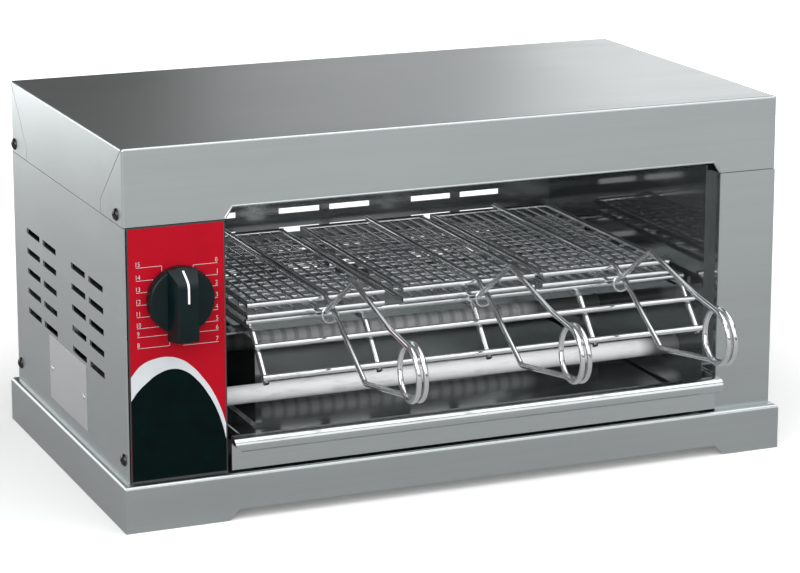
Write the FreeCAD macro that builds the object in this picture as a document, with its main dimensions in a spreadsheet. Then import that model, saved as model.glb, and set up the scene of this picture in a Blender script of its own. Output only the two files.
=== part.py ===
import FreeCAD, Part
import math
import os
import re
import Sketcher
from FreeCAD import Placement, Rotation, Vector

# A counter-top toaster with quartz tubes and three wire tongs. Millimetres.
# The front looks along -Y, X runs to the right and Z up from the counter.
# The origin is the middle of the footprint, on the counter.

SIZES = (
    # the body and its sheet
    ("body_width", 450),
    ("body_depth", 250),
    ("body_height", 240),
    ("sheet_wall", 1.2),
    # the base, wider than the body, with a gap between its front feet
    ("base_height", 30),
    ("base_side_lip", 4),
    ("base_front_lip", 7),
    ("base_edge_round", 2.5),
    ("foot_gap_height", 7),
    ("left_foot_width", 67),
    ("right_foot_width", 41),
    # the cover: its skirt, its raised apron and the seams of its corner tabs
    ("cover_drop", 48.5),
    ("cover_edge_round", 1.5),
    ("apron_rise", 7.6),
    ("apron_margin", 5),
    ("panel_lap", 12),
    ("panel_seam", 0.4),
    ("front_tab_depth", 45),
    ("rear_tab_depth", 36),
    ("tab_shoulder", 9),
    ("seam_width", 0.5),
    ("seam_depth", 0.6),
    # the front: control panel, opening and right column
    ("control_inset", 2),
    ("control_width", 63),
    ("column_width", 40.8),
    ("front_return", 12),
    ("label_margin", 1),
    ("label_thickness", 0.3),
    # vent slots
    ("slot_length", 31),
    ("slot_height", 4),
    ("slot_pair_gap", 7.6),
    ("slot_row_pitch", 13.9),
    ("slot_rows", 5),
    ("slot_top_level", 144.7),
    ("side_slot_start", 44.7),
    ("side_pair_pitch", 104.8),
    ("back_group_pitch", 102),
    ("back_slot_shift", 2),
    ("back_slot_rise", 3.5),
    # the chamber
    ("chamber_right", 45),
    ("wall_foot_level", 38.5),
    ("wall_rail_width", 8),
    ("reflector_level", 214),
    ("reflector_start", 20),
    ("reflector_lip", 9),
    ("shield_place", 105),
    ("shield_start", 60),
    ("shield_top", 94),
    ("shield_flange", 4),
    ("shield_foot", 14),
    # the heaters
    ("tube_radius", 6),
    ("tube_wall", 1.1),
    ("tube_hole_gap", 0.8),
    ("lower_tube_level", 63),
    ("upper_tube_level", 205),
    ("lower_front_tube", 50),
    ("lower_rear_tube", 170),
    ("upper_front_tube", 75),
    ("upper_rear_tube", 175),
    ("cap_radius", 9),
    ("cap_length", 18),
    ("cap_end", 4),
    ("cap_fit", 0.05),
    ("filament_wire", 0.9),
    ("filament_radius", 3.6),
    ("filament_pitch", 9),
    ("filament_lead", 14),
    # the crumb tray
    ("tray_left", 66.5),
    ("tray_panel_gap", 1.7),
    ("tray_bottom", 31.5),
    ("tray_top", 53.5),
    ("tray_proud", 3.2),
    ("tray_floor_level", 36),
    ("tray_side_inset", 5.5),
    ("tray_right_gap", 1),
    ("tray_rear_gap", 9),
    ("lip_radius", 5),
    ("lip_flat", 2.3),
    ("lip_end_radius", 9),
    ("lip_right_extra", 2),
    ("runner_width", 10),
    ("runner_inset", 2),
    ("slide_gap", 0.3),
    # the wire rack
    ("rack_wire", 4),
    ("rack_level", 112),
    ("rack_first_bar", 91.5),
    ("rack_bar_pitch", 76.2),
    ("rack_end_reach", 3),
    ("rack_bend_place", 27),
    ("rack_bend_radius", 6),
    ("rack_top_bar", 31),
    ("guard_angle", 48.5),
    ("guard_length", 38.5),
    ("guard_upper_run", 14.2),
    ("guard_lower_run", 36.1),
    ("rack_rear_reach", 6),
    ("bracket_overlap", 3),
    ("bracket_depth", 16),
    ("bracket_drop", 15),
    ("bracket_rise", 4),
    ("bracket_front_place", 32),
    # the tongs
    ("tong_width", 89.5),
    ("tong_depth", 183),
    ("tong_front", 28),
    ("first_tong", 135),
    ("second_tong", 241),
    ("third_tong", 340),
    ("frame_wire", 3.6),
    ("mesh_wire", 2),
    ("mesh_columns", 10),
    ("mesh_rows", 8),
    ("weld_depth", 0.3),
    ("jaw_gap", 0.4),
    ("spine_wire", 3.4),
    ("spine_reach", 2),
    ("spine_spacing", 4.4),
    ("spine_offset", 1.5),
    ("eye_ahead", 16),
    ("eye_rise", 3),
    ("eye_side", 3.5),
    ("peak_side", 4.5),
    ("knee_run", 2.4),
    ("knee_bend", 3),
    ("peak_ahead", 59),
    ("peak_rise", 32),
    ("corner_ahead", 71),
    ("corner_drop", 30),
    ("corner_side", 2.8),
    ("coil_ahead", 150),
    ("coil_drop", 1.3),
    ("coil_radius", 17),
    ("coil_pitch", 4.5),
    ("coil_extra_turns", 1),
    ("coil_side", 2),
    ("handle_bend", 6),
    ("arm_straight", 25),
    ("keeper_radius", 5.3),
    ("keeper_wire", 1.8),
    ("keeper_drop", 2.2),
    # knob and timer
    ("knob_place", 34.2),
    ("knob_level", 145),
    ("knob_gap", 0.5),
    ("knob_radius", 21),
    ("knob_thickness", 8.5),
    ("knob_chamfer", 2),
    ("grip_width", 14),
    ("grip_height", 12),
    ("grip_above", 20),
    ("grip_below", 24),
    ("grip_slope", 7),
    ("grip_draft", 2),
    ("pointer_width", 2.2),
    ("pointer_proud", 0.3),
    ("shaft_radius", 3),
    ("shaft_fit", 0.05),
    ("shaft_reach", 6),
    ("bush_radius", 4.8),
    ("bush_gap", 0.2),
    ("nut_flats", 14),
    ("nut_thickness", 2.5),
    ("nut_clearance", 1),
    ("timer_width", 42),
    ("timer_height", 44),
    ("timer_depth", 40),
    # small pieces
    ("plate_front", 84),
    ("plate_length", 84),
    ("plate_level", 40),
    ("plate_height", 42.4),
    ("plate_thickness", 0.6),
    ("rivet_radius", 1.8),
    ("rivet_height", 0.8),
    ("rivet_margin", 6),
    ("screw_radius", 4),
    ("screw_head", 2.4),
    ("screw_socket", 1.1),
    ("screw_inset", 7),
    ("front_screw_inset", 12.5),
    ("upper_screw_level", 197.5),
    ("lower_screw_level", 43.5),
    ("gland_place", 40),
    ("gland_level", 62),
    ("gland_radius", 8),
    ("gland_flats", 20),
    ("gland_reach", 14),
    ("gland_bore", 4),
    ("gland_nut_thickness", 4),
    ("block_width", 44),
    ("block_depth", 18),
    ("block_height", 16),
    ("block_hole", 3),
    ("block_ways", 4),
)

doc = FreeCAD.newDocument("Toaster")
sheet = doc.addObject("Spreadsheet::Sheet", "Sizes")
for row, (alias, number) in enumerate(SIZES, 1):
    sheet.set("A%d" % row, alias)
    sheet.set("B%d" % row, str(number))
    sheet.setAlias("B%d" % row, alias)
doc.recompute()

ALIASES = {alias for alias, number in SIZES}
NODES = []

# Places that several pieces share, as expressions of the sheet's sizes.
LEFT = "-body_width / 2"
RIGHT = "body_width / 2"
FRONT = "-body_depth / 2"
REAR = "body_depth / 2"
COVER_EDGE = "(body_height - cover_drop)"
CONTROL_EDGE = "(-body_width / 2 + control_inset + control_width)"
COLUMN_EDGE = "(body_width / 2 - column_width)"
CHAMBER_RIGHT = "(body_width / 2 - chamber_right)"
ALONG_X = Rotation(Vector(0, 1, 0), 90)
ALONG_Y = Rotation(Vector(1, 0, 0), -90)
TOWARD_FRONT = Rotation(Vector(1, 0, 0), 90)


def size(alias):
    """One size as a plain number, for shapes that are made by code."""
    return float(getattr(sheet, alias))


def bind(item, prop, text):
    """Tie a property to an expression in which the sheet's aliases stand bare."""
    def with_sheet(match):
        word = match.group(0)
        return "Sizes." + word if word in ALIASES else word
    item.setExpression(prop, re.sub(r"[a-z_]+", with_sheet, text))


def place(item, corner, turn=None):
    """Put an item at a corner given as three expressions, turned when asked."""
    if turn:
        item.Placement = Placement(Vector(), turn)
    for axis, text in zip("xyz", corner):
        bind(item, "Placement.Base." + axis, text)
    return item


def node(item, label):
    """Mark an item as a finished sub-part."""
    item.Label = label
    NODES.append(item)
    return item


def box(name, corner, lengths):
    """A block by its low corner and its three lengths."""
    item = doc.addObject("Part::Box", name)
    for prop, text in zip(("Length", "Width", "Height"), lengths):
        bind(item, prop, text)
    return place(item, corner)


def cylinder(name, centre, radius, length, turn=None):
    """A round bar from the centre of its first face."""
    item = doc.addObject("Part::Cylinder", name)
    bind(item, "Radius", radius)
    bind(item, "Height", length)
    return place(item, centre, turn)


def cone(name, centre, first_radius, last_radius, length, turn=None):
    """A tapered round from the centre of its first face."""
    item = doc.addObject("Part::Cone", name)
    bind(item, "Radius1", first_radius)
    bind(item, "Radius2", last_radius)
    bind(item, "Height", length)
    return place(item, centre, turn)


def hexagon(name, centre, flats, length, turn=None):
    """A six-sided bar by its width across the flats."""
    item = doc.addObject("Part::Prism", name)
    item.Polygon = 6
    bind(item, "Circumradius", flats + " / 2 / cos(30)")
    bind(item, "Height", length)
    return place(item, centre, turn)


def fuse(name, items):
    """Several solids that make one."""
    item = doc.addObject("Part::MultiFuse", name)
    item.Shapes = items
    item.Refine = True
    return item


def group(name, items):
    """Several loose solids that share a node."""
    item = doc.addObject("Part::Compound", name)
    item.Links = items
    return item


def cut(name, base, tools):
    """A solid with others taken out of it."""
    item = doc.addObject("Part::Cut", name)
    item.Base = base
    item.Tool = tools[0] if len(tools) == 1 else group(name + "_tools", tools)
    item.Refine = True
    return item


def new_body(name):
    """A feature body that carries its node's name."""
    return node(doc.addObject("PartDesign::Body", name), name)


def sketch_on(body, name, role, offset=("0", "0", "0")):
    """A sketch on one of the body's own planes, shifted by three expressions."""
    sketch = body.newObject("Sketcher::SketchObject", name)
    plane = [item for item in body.Origin.OriginFeatures if item.Role == role][0]
    sketch.AttachmentSupport = (plane, [""])
    sketch.MapMode = "FlatFace"
    for axis, text in zip("xyz", offset):
        bind(sketch, "AttachmentOffset.Base." + axis, text)
    return sketch


def outline(sketch, corners):
    """A closed outline through corners whose two coordinates are expressions."""
    first = sketch.GeometryCount
    count = len(corners)
    start = [Vector(math.cos(2 * math.pi * k / count), math.sin(2 * math.pi * k / count), 0)
             for k in range(count)]
    for k in range(count):
        sketch.addGeometry(Part.LineSegment(start[k], start[(k + 1) % count]), False)
    for k in range(count):
        line = first + k
        following = first + (k + 1) % count
        sketch.addConstraint(Sketcher.Constraint("Coincident", line, 2, following, 1))
    for k, (across, up) in enumerate(corners):
        for kind, text in (("DistanceX", across), ("DistanceY", up)):
            index = sketch.addConstraint(Sketcher.Constraint(kind, -1, 1, first + k, 1, 1.0))
            bind(sketch, "Constraints[%d]" % index, text)


def rectangle(sketch, left, low, width, height):
    """A rectangle by its low left corner and its two lengths."""
    right = "%s + %s" % (left, width)
    high = "%s + %s" % (low, height)
    outline(sketch, [(left, low), (right, low), (right, high), (left, high)])


def feature(body, kind, name, sketch, length, back=False):
    """A pad or a pocket of one length, on the sketch's front or back side."""
    item = body.newObject("PartDesign::" + kind, name)
    item.Profile = sketch
    bind(item, "Length", length)
    item.Reversed = back
    sketch.Visibility = False
    return item


def must_remove(body, before, what):
    """Stop when a feature that should cut has left the volume as it was."""
    doc.recompute()
    if not body.Shape.Volume < before - 0.01:
        raise RuntimeError(what + " cut nothing")


def edges_where(shape, test):
    """Names of the edges whose middle passes a test."""
    return ["Edge%d" % number for number, edge in enumerate(shape.Edges, 1)
            if test(edge.CenterOfMass)]


# Base


def base_tray():
    """The folded base: rounded top edges, hollow below, a gap between the front feet."""
    body = new_body("base_tray")
    left = "-body_width / 2 - base_side_lip"
    front = "-body_depth / 2 - base_front_lip"
    width = "body_width + 2 * base_side_lip"
    depth = "body_depth + 2 * base_front_lip"
    sketch = sketch_on(body, "base_outline", "XY_Plane")
    rectangle(sketch, left, front, width, depth)
    block = feature(body, "Pad", "base_block", sketch, "base_height")
    doc.recompute()
    rounded = body.newObject("PartDesign::Fillet", "base_rounding")
    top = size("base_height")
    rounded.Base = (block, edges_where(block.Shape, lambda middle: abs(middle.z - top) < 0.01))
    bind(rounded, "Radius", "base_edge_round")
    doc.recompute()
    before = body.Shape.Volume
    sketch = sketch_on(body, "base_hollow_outline", "XY_Plane")
    rectangle(sketch, left + " + sheet_wall", front + " + sheet_wall",
              width + " - 2 * sheet_wall", depth + " - 2 * sheet_wall")
    feature(body, "Pocket", "base_hollow", sketch, "base_height - sheet_wall", back=True)
    must_remove(body, before, "base hollow")
    before = body.Shape.Volume
    sketch = sketch_on(body, "foot_gap_outline", "XZ_Plane", ("0", "0", REAR + " + base_front_lip"))
    gap_left = left + " + left_foot_width"
    gap_right = RIGHT + " + base_side_lip - right_foot_width"
    outline(sketch, [(gap_left, "0"), (gap_left + " + foot_gap_height", "foot_gap_height"),
                     (gap_right + " - foot_gap_height", "foot_gap_height"), (gap_right, "0")])
    feature(body, "Pocket", "foot_gap", sketch, "2 * sheet_wall")
    must_remove(body, before, "foot gap")


def tray_runners():
    """Two strips on the base that the crumb tray slides on."""
    strips = []
    wall = "(tray_left + tray_side_inset + sheet_wall)"
    for name, left in (("left_runner", LEFT + " + " + wall + " + runner_inset"),
                       ("right_runner", COLUMN_EDGE + " - tray_right_gap - sheet_wall"
                                        " - runner_inset - runner_width")):
        strips.append(box(name, (left, FRONT + " + front_return", "base_height"),
                          ("runner_width", "body_depth - front_return - tray_rear_gap - sheet_wall",
                           "tray_floor_level - slide_gap - base_height")))
    node(group("runners", strips), "tray_runners")


# Shell


def vent_pair(body, name, plane, offset, start, top, rows, copies, pitch, depth, back):
    """A pair of slots, repeated down in rows and sideways in groups."""
    before = body.Shape.Volume
    sketch = sketch_on(body, name + "_outline", plane, offset)
    low = top + " - slot_height"
    rectangle(sketch, start, low, "slot_length", "slot_height")
    rectangle(sketch, start + " + slot_length + slot_pair_gap", low, "slot_length", "slot_height")
    pocket = feature(body, "Pocket", name, sketch, depth, back)
    must_remove(body, before, name)
    many = body.newObject("PartDesign::MultiTransform", name + "_pattern")
    down = body.newObject("PartDesign::LinearPattern", name + "_rows")
    down.Direction = (sketch, ["V_Axis"])
    down.Reversed = True
    bind(down, "Length", "slot_row_pitch * (%s - 1)" % rows)
    bind(down, "Occurrences", rows)
    sideways = body.newObject("PartDesign::LinearPattern", name + "_groups")
    sideways.Direction = (sketch, ["H_Axis"])
    bind(sideways, "Length", "%s * %d" % (pitch, copies - 1))
    sideways.Occurrences = copies
    many.Originals = [pocket]
    many.Transformations = [down, sideways]
    body.Tip = many
    doc.recompute()


def side_panel(name, outer_face, lap_face):
    """A side wall with a lap behind the cover and two pairs of slot columns."""
    body = new_body(name)
    sketch = sketch_on(body, name + "_outline", "YZ_Plane", ("0", "0", outer_face))
    rectangle(sketch, FRONT, "base_height", "body_depth",
              COVER_EDGE + " - panel_seam - base_height")
    feature(body, "Pad", name + "_plate", sketch, "sheet_wall")
    sketch = sketch_on(body, name + "_lap_outline", "YZ_Plane", ("0", "0", lap_face))
    rectangle(sketch, FRONT + " + 2 * sheet_wall", COVER_EDGE + " - panel_lap",
              "body_depth - 4 * sheet_wall", "2 * panel_lap")
    feature(body, "Pad", name + "_lap", sketch, "sheet_wall")
    doc.recompute()
    vent_pair(body, name + "_vents", "YZ_Plane", ("0", "0", outer_face), FRONT + " + side_slot_start",
              "slot_top_level", "slot_rows", 2, "side_pair_pitch", "sheet_wall", back=True)


def back_panel():
    """The back wall with three groups of slots and the hole for the cable entry."""
    body = new_body("back_panel")
    sketch = sketch_on(body, "back_outline", "XZ_Plane", ("0", "0", FRONT))
    rectangle(sketch, LEFT + " + sheet_wall", "base_height", "body_width - 2 * sheet_wall",
              COVER_EDGE + " - panel_seam - base_height")
    feature(body, "Pad", "back_plate", sketch, "sheet_wall")
    sketch = sketch_on(body, "back_lap_outline", "XZ_Plane", ("0", "0", FRONT + " + sheet_wall"))
    rectangle(sketch, CONTROL_EDGE + " + panel_seam", COVER_EDGE + " - panel_lap",
              "body_width - control_inset - control_width - chamber_right - 2 * panel_seam",
              "2 * panel_lap")
    feature(body, "Pad", "back_lap", sketch, "sheet_wall")
    doc.recompute()
    before = body.Shape.Volume
    sketch = sketch_on(body, "gland_hole_outline", "XZ_Plane", ("0", "0", FRONT))
    sketch.addGeometry(Part.Circle(Vector(0, 0, 0), Vector(0, 0, 1), 5.0), False)
    radius = sketch.addConstraint(Sketcher.Constraint("Radius", 0, 5.0))
    across = sketch.addConstraint(Sketcher.Constraint("DistanceX", -1, 1, 0, 3, 1.0))
    up = sketch.addConstraint(Sketcher.Constraint("DistanceY", -1, 1, 0, 3, 1.0))
    bind(sketch, "Constraints[%d]" % radius, "gland_radius + bush_gap")
    bind(sketch, "Constraints[%d]" % across, LEFT + " + gland_place")
    bind(sketch, "Constraints[%d]" % up, "gland_level")
    feature(body, "Pocket", "gland_hole", sketch, "sheet_wall", back=True)
    must_remove(body, before, "gland hole")
    start = "back_slot_shift - back_group_pitch - slot_length - slot_pair_gap / 2"
    vent_pair(body, "back_vents", "XZ_Plane", ("0", "0", FRONT), start,
              "slot_top_level + back_slot_rise", "slot_rows", 3, "back_group_pitch", "sheet_wall",
              back=True)


def top_cover():
    """The lid: a folded box with a raised apron and the seams of its corner tabs."""
    body = new_body("top_cover")
    sketch = sketch_on(body, "cover_outline", "XY_Plane", ("0", "0", COVER_EDGE))
    rectangle(sketch, LEFT, FRONT, "body_width", "body_depth")
    block = feature(body, "Pad", "cover_block", sketch, "cover_drop")
    doc.recompute()
    low = size("body_height") - size("cover_drop")
    rounded = body.newObject("PartDesign::Fillet", "cover_rounding")
    rounded.Base = (block, edges_where(block.Shape, lambda middle: middle.z > low + 0.01))
    bind(rounded, "Radius", "cover_edge_round")
    doc.recompute()
    before = body.Shape.Volume
    sketch = sketch_on(body, "cover_hollow_outline", "XY_Plane", ("0", "0", COVER_EDGE))
    rectangle(sketch, LEFT + " + sheet_wall", FRONT + " + sheet_wall",
              "body_width - 2 * sheet_wall", "body_depth - 2 * sheet_wall")
    feature(body, "Pocket", "cover_hollow", sketch, "cover_drop - sheet_wall", back=True)
    must_remove(body, before, "cover hollow")
    before = body.Shape.Volume
    sketch = sketch_on(body, "apron_outline", "XZ_Plane", ("0", "0", REAR))
    outline(sketch, [(CONTROL_EDGE, COVER_EDGE),
                     (CONTROL_EDGE + " + apron_margin", COVER_EDGE + " + apron_rise"),
                     (COLUMN_EDGE + " - apron_margin", COVER_EDGE + " + apron_rise"),
                     (COLUMN_EDGE, COVER_EDGE)])
    feature(body, "Pocket", "apron_gap", sketch, "2 * sheet_wall")
    must_remove(body, before, "apron gap")
    before = body.Shape.Volume
    sketch = sketch_on(body, "tab_seams_outline", "YZ_Plane", ("0", "0", LEFT))
    shoulder = COVER_EDGE + " + tab_shoulder"
    outline(sketch, [(FRONT, "body_height"), (FRONT + " + front_tab_depth", shoulder),
                     (FRONT + " + front_tab_depth", COVER_EDGE),
                     (FRONT + " + front_tab_depth + seam_width", COVER_EDGE),
                     (FRONT + " + front_tab_depth + seam_width", shoulder),
                     (FRONT + " + 2 * seam_width", "body_height")])
    outline(sketch, [(REAR, "body_height"), (REAR + " - rear_tab_depth", shoulder),
                     (REAR + " - rear_tab_depth", COVER_EDGE),
                     (REAR + " - rear_tab_depth - seam_width", COVER_EDGE),
                     (REAR + " - rear_tab_depth - seam_width", shoulder),
                     (REAR + " - 2 * seam_width", "body_height")])
    left_seams = feature(body, "Pocket", "tab_seams", sketch, "seam_depth", back=True)
    must_remove(body, before, "tab seams")
    mirrored = body.newObject("PartDesign::Mirrored", "right_tab_seams")
    mirrored.Originals = [left_seams]
    mirrored.MirrorPlane = ([item for item in body.Origin.OriginFeatures
                             if item.Role == "YZ_Plane"][0], [""])
    body.Tip = mirrored


def front_panels():
    """Control panel with its label sheet, and the right column."""
    height = COVER_EDGE + " - panel_seam - base_height"
    plate = box("control_plate", (LEFT + " + control_inset", FRONT, "base_height"),
                ("control_width", "sheet_wall", height))
    fold = box("control_fold", (CONTROL_EDGE + " - sheet_wall", FRONT, "base_height"),
               ("sheet_wall", "front_return", height))
    knob_x = LEFT + " + knob_place"
    hole = cylinder("bush_hole", (knob_x, FRONT + " - 1", "knob_level"),
                    "bush_radius + bush_gap", "sheet_wall + 2", ALONG_Y)
    node(cut("control", fuse("control_folded", [plate, fold]), [hole]), "control_panel")

    face = box("label_sheet", (LEFT + " + control_inset + label_margin", FRONT + " - label_thickness",
                               "base_height + label_margin"),
               ("control_width - 2 * label_margin", "label_thickness", height + " - 2 * label_margin"))
    window = cylinder("label_hole", (knob_x, FRONT + " - label_thickness - 1", "knob_level"),
                      "nut_flats / 2 / cos(30) + nut_clearance", "label_thickness + 2", ALONG_Y)
    node(cut("label", face, [window]), "fascia_label")

    plate = box("column_plate", (COLUMN_EDGE, FRONT, "base_height"),
                ("column_width - sheet_wall", "sheet_wall", height))
    fold = box("column_fold", (COLUMN_EDGE, FRONT, "base_height"),
               ("sheet_wall", "front_return", height))
    node(fuse("column", [plate, fold]), "right_column")


# Chamber


HEATERS = (
    ("lower_front", "lower_front_tube", "lower_tube_level", True),
    ("lower_rear", "lower_rear_tube", "lower_tube_level", True),
    ("upper_front", "upper_front_tube", "upper_tube_level", False),
    ("upper_rear", "upper_rear_tube", "upper_tube_level", False),
)


def tube_holes(name, left, length, heaters):
    """Clearance holes for the quartz tubes through one wall."""
    return [cylinder(name + "_" + heater, (left, FRONT + " + " + depth, level),
                     "tube_radius + tube_hole_gap", length, ALONG_X)
            for heater, depth, level, wound in heaters]


def chamber():
    """Both side walls, the roof reflector and the shield over the left tube ends."""
    wall_y = FRONT + " + front_return"
    wall_depth = "body_depth - front_return - sheet_wall"
    tall = "reflector_level - wall_foot_level"
    left_x = CONTROL_EDGE + " - sheet_wall"
    plate = box("left_wall_plate", (left_x, wall_y, "wall_foot_level"), ("sheet_wall", wall_depth, tall))
    tools = tube_holes("left_wall_hole", left_x + " - 1", "sheet_wall + 2", HEATERS)
    node(cut("left_wall", plate, tools), "chamber_left_wall")

    plate = box("right_wall_plate", (CHAMBER_RIGHT, wall_y, "wall_foot_level"),
                ("sheet_wall", wall_depth, tall))
    rail = box("right_wall_rail", (CHAMBER_RIGHT + " - wall_rail_width", wall_y + " + sheet_wall",
                                   "wall_foot_level"),
               ("wall_rail_width", wall_depth + " - sheet_wall", "sheet_wall"))
    fold = box("right_wall_fold", (CHAMBER_RIGHT, wall_y, "tray_top + slide_gap"),
               ("chamber_right - column_width + sheet_wall", "sheet_wall",
                COVER_EDGE + " - panel_seam - tray_top - slide_gap"))
    tools = tube_holes("right_wall_hole", CHAMBER_RIGHT + " - 1", "sheet_wall + 2", HEATERS)
    node(cut("right_wall", fuse("right_wall_sheet", [plate, rail, fold]), tools),
         "chamber_right_wall")

    roof_width = "body_width - control_inset - control_width - chamber_right + 2 * sheet_wall"
    plate = box("roof_plate", (left_x, FRONT + " + reflector_start", "reflector_level"),
                (roof_width, "body_depth - reflector_start - sheet_wall", "sheet_wall"))
    lip = box("roof_lip", (CONTROL_EDGE + " + panel_seam", FRONT + " + reflector_start",
                           "reflector_level - reflector_lip"),
              (roof_width + " - 2 * sheet_wall - 2 * panel_seam", "sheet_wall", "reflector_lip"))
    node(fuse("roof", [plate, lip]), "upper_reflector")

    shield_x = LEFT + " + shield_place"
    shield_y = FRONT + " + shield_start"
    depth = "body_depth - shield_start - sheet_wall"
    low = "wall_foot_level + sheet_wall"
    tall = "shield_top - wall_foot_level - sheet_wall"
    plate = box("shield_plate", (shield_x, shield_y, low), ("sheet_wall", depth, tall))
    flange = box("shield_lip", (shield_x, shield_y, low), ("shield_flange", "sheet_wall", tall))
    foot = box("shield_foot_fold", (shield_x, REAR + " - 2 * sheet_wall", low),
               ("shield_foot", "sheet_wall", tall))
    tools = tube_holes("shield_hole", shield_x + " - 1", "sheet_wall + 2", HEATERS[1:2])
    node(cut("shield", fuse("shield_folded", [plate, flange, foot]), tools), "left_heat_shield")


# Wire work: paths of straight runs and arcs, and round tubes along them


def arc_edge(start, knee, end):
    """The arc between two points whose end tangents meet at the knee."""
    first = (knee - start).normalize()
    last = (end - knee).normalize()
    half_cosine = math.sqrt(max(0.0, (1 + first.dot(last)) / 2))
    if half_cosine > 0.9999999:
        return Part.LineSegment(start, end).toShape()
    middle = knee + ((start + end) / 2 - knee) / (1 + half_cosine)
    return Part.Arc(start, middle, end).toShape()


def rounded_runs(points, radii):
    """Straight runs through the points, each inner corner rounded by its radius."""
    edges = []
    here = points[0]
    for before, corner, after, radius in zip(points, points[1:], points[2:], radii):
        first = (corner - before).normalize()
        last = (after - corner).normalize()
        turn = math.acos(max(-1.0, min(1.0, first.dot(last))))
        reach = radius * math.tan(turn / 2)
        leave = corner - first * reach
        join = corner + last * reach
        edges.append(Part.LineSegment(here, leave).toShape())
        edges.append(arc_edge(leave, corner, join))
        here = join
    edges.append(Part.LineSegment(here, points[-1]).toShape())
    return edges


def biarc(start, start_way, end, end_way):
    """Two arcs that leave one point and reach another along given directions."""
    span = end - start
    ways = start_way + end_way
    square = ways.dot(ways) - 4
    across = span.dot(ways)
    if abs(square) < 1e-9:
        reach = span.dot(span) / (2 * across)
    else:
        reach = (across - math.sqrt(across * across - square * span.dot(span))) / square
    first_knee = start + start_way * reach
    last_knee = end - end_way * reach
    middle = (first_knee + last_knee) / 2
    return [arc_edge(start, first_knee, middle), arc_edge(middle, last_knee, end)]


def helix(place_at, way_at, turns, steps_per_turn=4):
    """Biarcs along a helix, which place_at and way_at give at any number of turns."""
    edges = []
    steps = max(1, round(turns * steps_per_turn))
    for step in range(steps):
        here = turns * step / steps
        there = turns * (step + 1) / steps
        edges += biarc(place_at(here), way_at(here), place_at(there), way_at(there))
    return edges


def tube_along(edges, diameter):
    """A round wire of one diameter along a path of edges."""
    path = Part.Wire(edges)
    start = path.Edges[0]
    way = start.tangentAt(start.FirstParameter)
    ring = Part.Wire([Part.Circle(start.valueAt(start.FirstParameter), way, diameter / 2).toShape()])
    return path.makePipeShell([ring], True, False)


def report_gap(label, edges, diameter, turn_length):
    """Print the least gap of a wound wire to itself, measured on points."""
    points = Part.Wire(edges).discretize(Distance=turn_length / 24)
    least = min((points[i] - points[j]).Length
                for i in range(len(points)) for j in range(i + 16, min(i + 60, len(points))))
    print("%s: least gap of the wire to itself %.2f mm" % (label, least - diameter))


def made(name, shape, label):
    """A sub-part whose shape is made by code."""
    item = doc.addObject("Part::Feature", name)
    item.Shape = shape
    return node(item, label)


# Heaters


def heater(name, depth, level, wound):
    """A quartz tube with its filament inside and a ceramic cap at each end."""
    y = FRONT + " + " + depth
    wall = CONTROL_EDGE + " - sheet_wall"
    left = wall + " - cap_length + cap_end"
    length = ("body_width - control_inset - control_width - chamber_right + 2 * sheet_wall"
              " + 2 * (cap_length - cap_end)")
    outer = cylinder(name + "_glass", (left, y, level), "tube_radius", length, ALONG_X)
    inner = cylinder(name + "_bore", (left + " - 1", y, level), "tube_radius - tube_wall",
                     length + " + 2", ALONG_X)
    node(cut(name + "_quartz", outer, [inner]), name + "_tube")

    caps = []
    right = CHAMBER_RIGHT + " + sheet_wall"
    for side, cap_left, bore_left in (("left", wall + " - cap_length", left),
                                      ("right", right, right + " - 1")):
        blank = cylinder(name + "_%s_cap" % side, (cap_left, y, level), "cap_radius", "cap_length",
                         ALONG_X)
        bore = cylinder(name + "_%s_cap_bore" % side, (bore_left, y, level),
                        "tube_radius + cap_fit", "cap_length - cap_end + 1", ALONG_X)
        caps.append(cut(name + "_%s_cap_cut" % side, blank, [bore]))
    node(group(name + "_ceramics", caps), name + "_caps")

    wire = size("filament_wire")
    radius = size("filament_radius")
    start = -size("body_width") / 2 + size("control_inset") + size("control_width")
    start -= size("sheet_wall") + size("cap_length") - size("cap_end")
    end = size("body_width") / 2 - size("chamber_right") + size("sheet_wall")
    end += size("cap_length") - size("cap_end")
    centre = Vector(0, -size("body_depth") / 2 + size(depth), size(level))
    if not wound:
        rod = cylinder(name + "_winding", (left, y, level), "filament_radius + filament_wire / 2",
                       length, ALONG_X)
        node(rod, name + "_filament")
        return
    lead = size("filament_lead")
    ease = size("filament_pitch")
    turns = (end - start - 2 * lead - 2 * ease) / size("filament_pitch")
    turns = round(turns * 4) / 4
    pitch = (end - start - 2 * lead - 2 * ease) / turns
    slope = math.atan2(pitch, 2 * math.pi * radius)

    def place_at(turn):
        angle = 2 * math.pi * turn
        return centre + Vector(start + lead + ease + pitch * turn,
                               radius * math.cos(angle), radius * math.sin(angle))

    def way_at(turn):
        angle = 2 * math.pi * turn
        return Vector(math.sin(slope), -math.cos(slope) * math.sin(angle),
                      math.cos(slope) * math.cos(angle))

    along = Vector(1, 0, 0)
    entry = centre + Vector(start + lead, radius * math.cos(-math.pi / 4),
                            radius * math.sin(-math.pi / 4))
    last = 2 * math.pi * turns + math.pi / 4
    leave = centre + Vector(end - lead, radius * math.cos(last), radius * math.sin(last))
    winding = helix(place_at, way_at, turns)
    edges = [Part.LineSegment(entry - along * lead, entry).toShape()]
    edges += biarc(entry, along, place_at(0), way_at(0))
    edges += winding
    edges += biarc(place_at(turns), way_at(turns), leave, along)
    edges.append(Part.LineSegment(leave, leave + along * lead).toShape())
    report_gap(name + " filament", winding, wire, math.hypot(2 * math.pi * radius, pitch))
    made(name + "_winding", tube_along(edges, wire), name + "_filament")


# Wire rack


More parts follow.
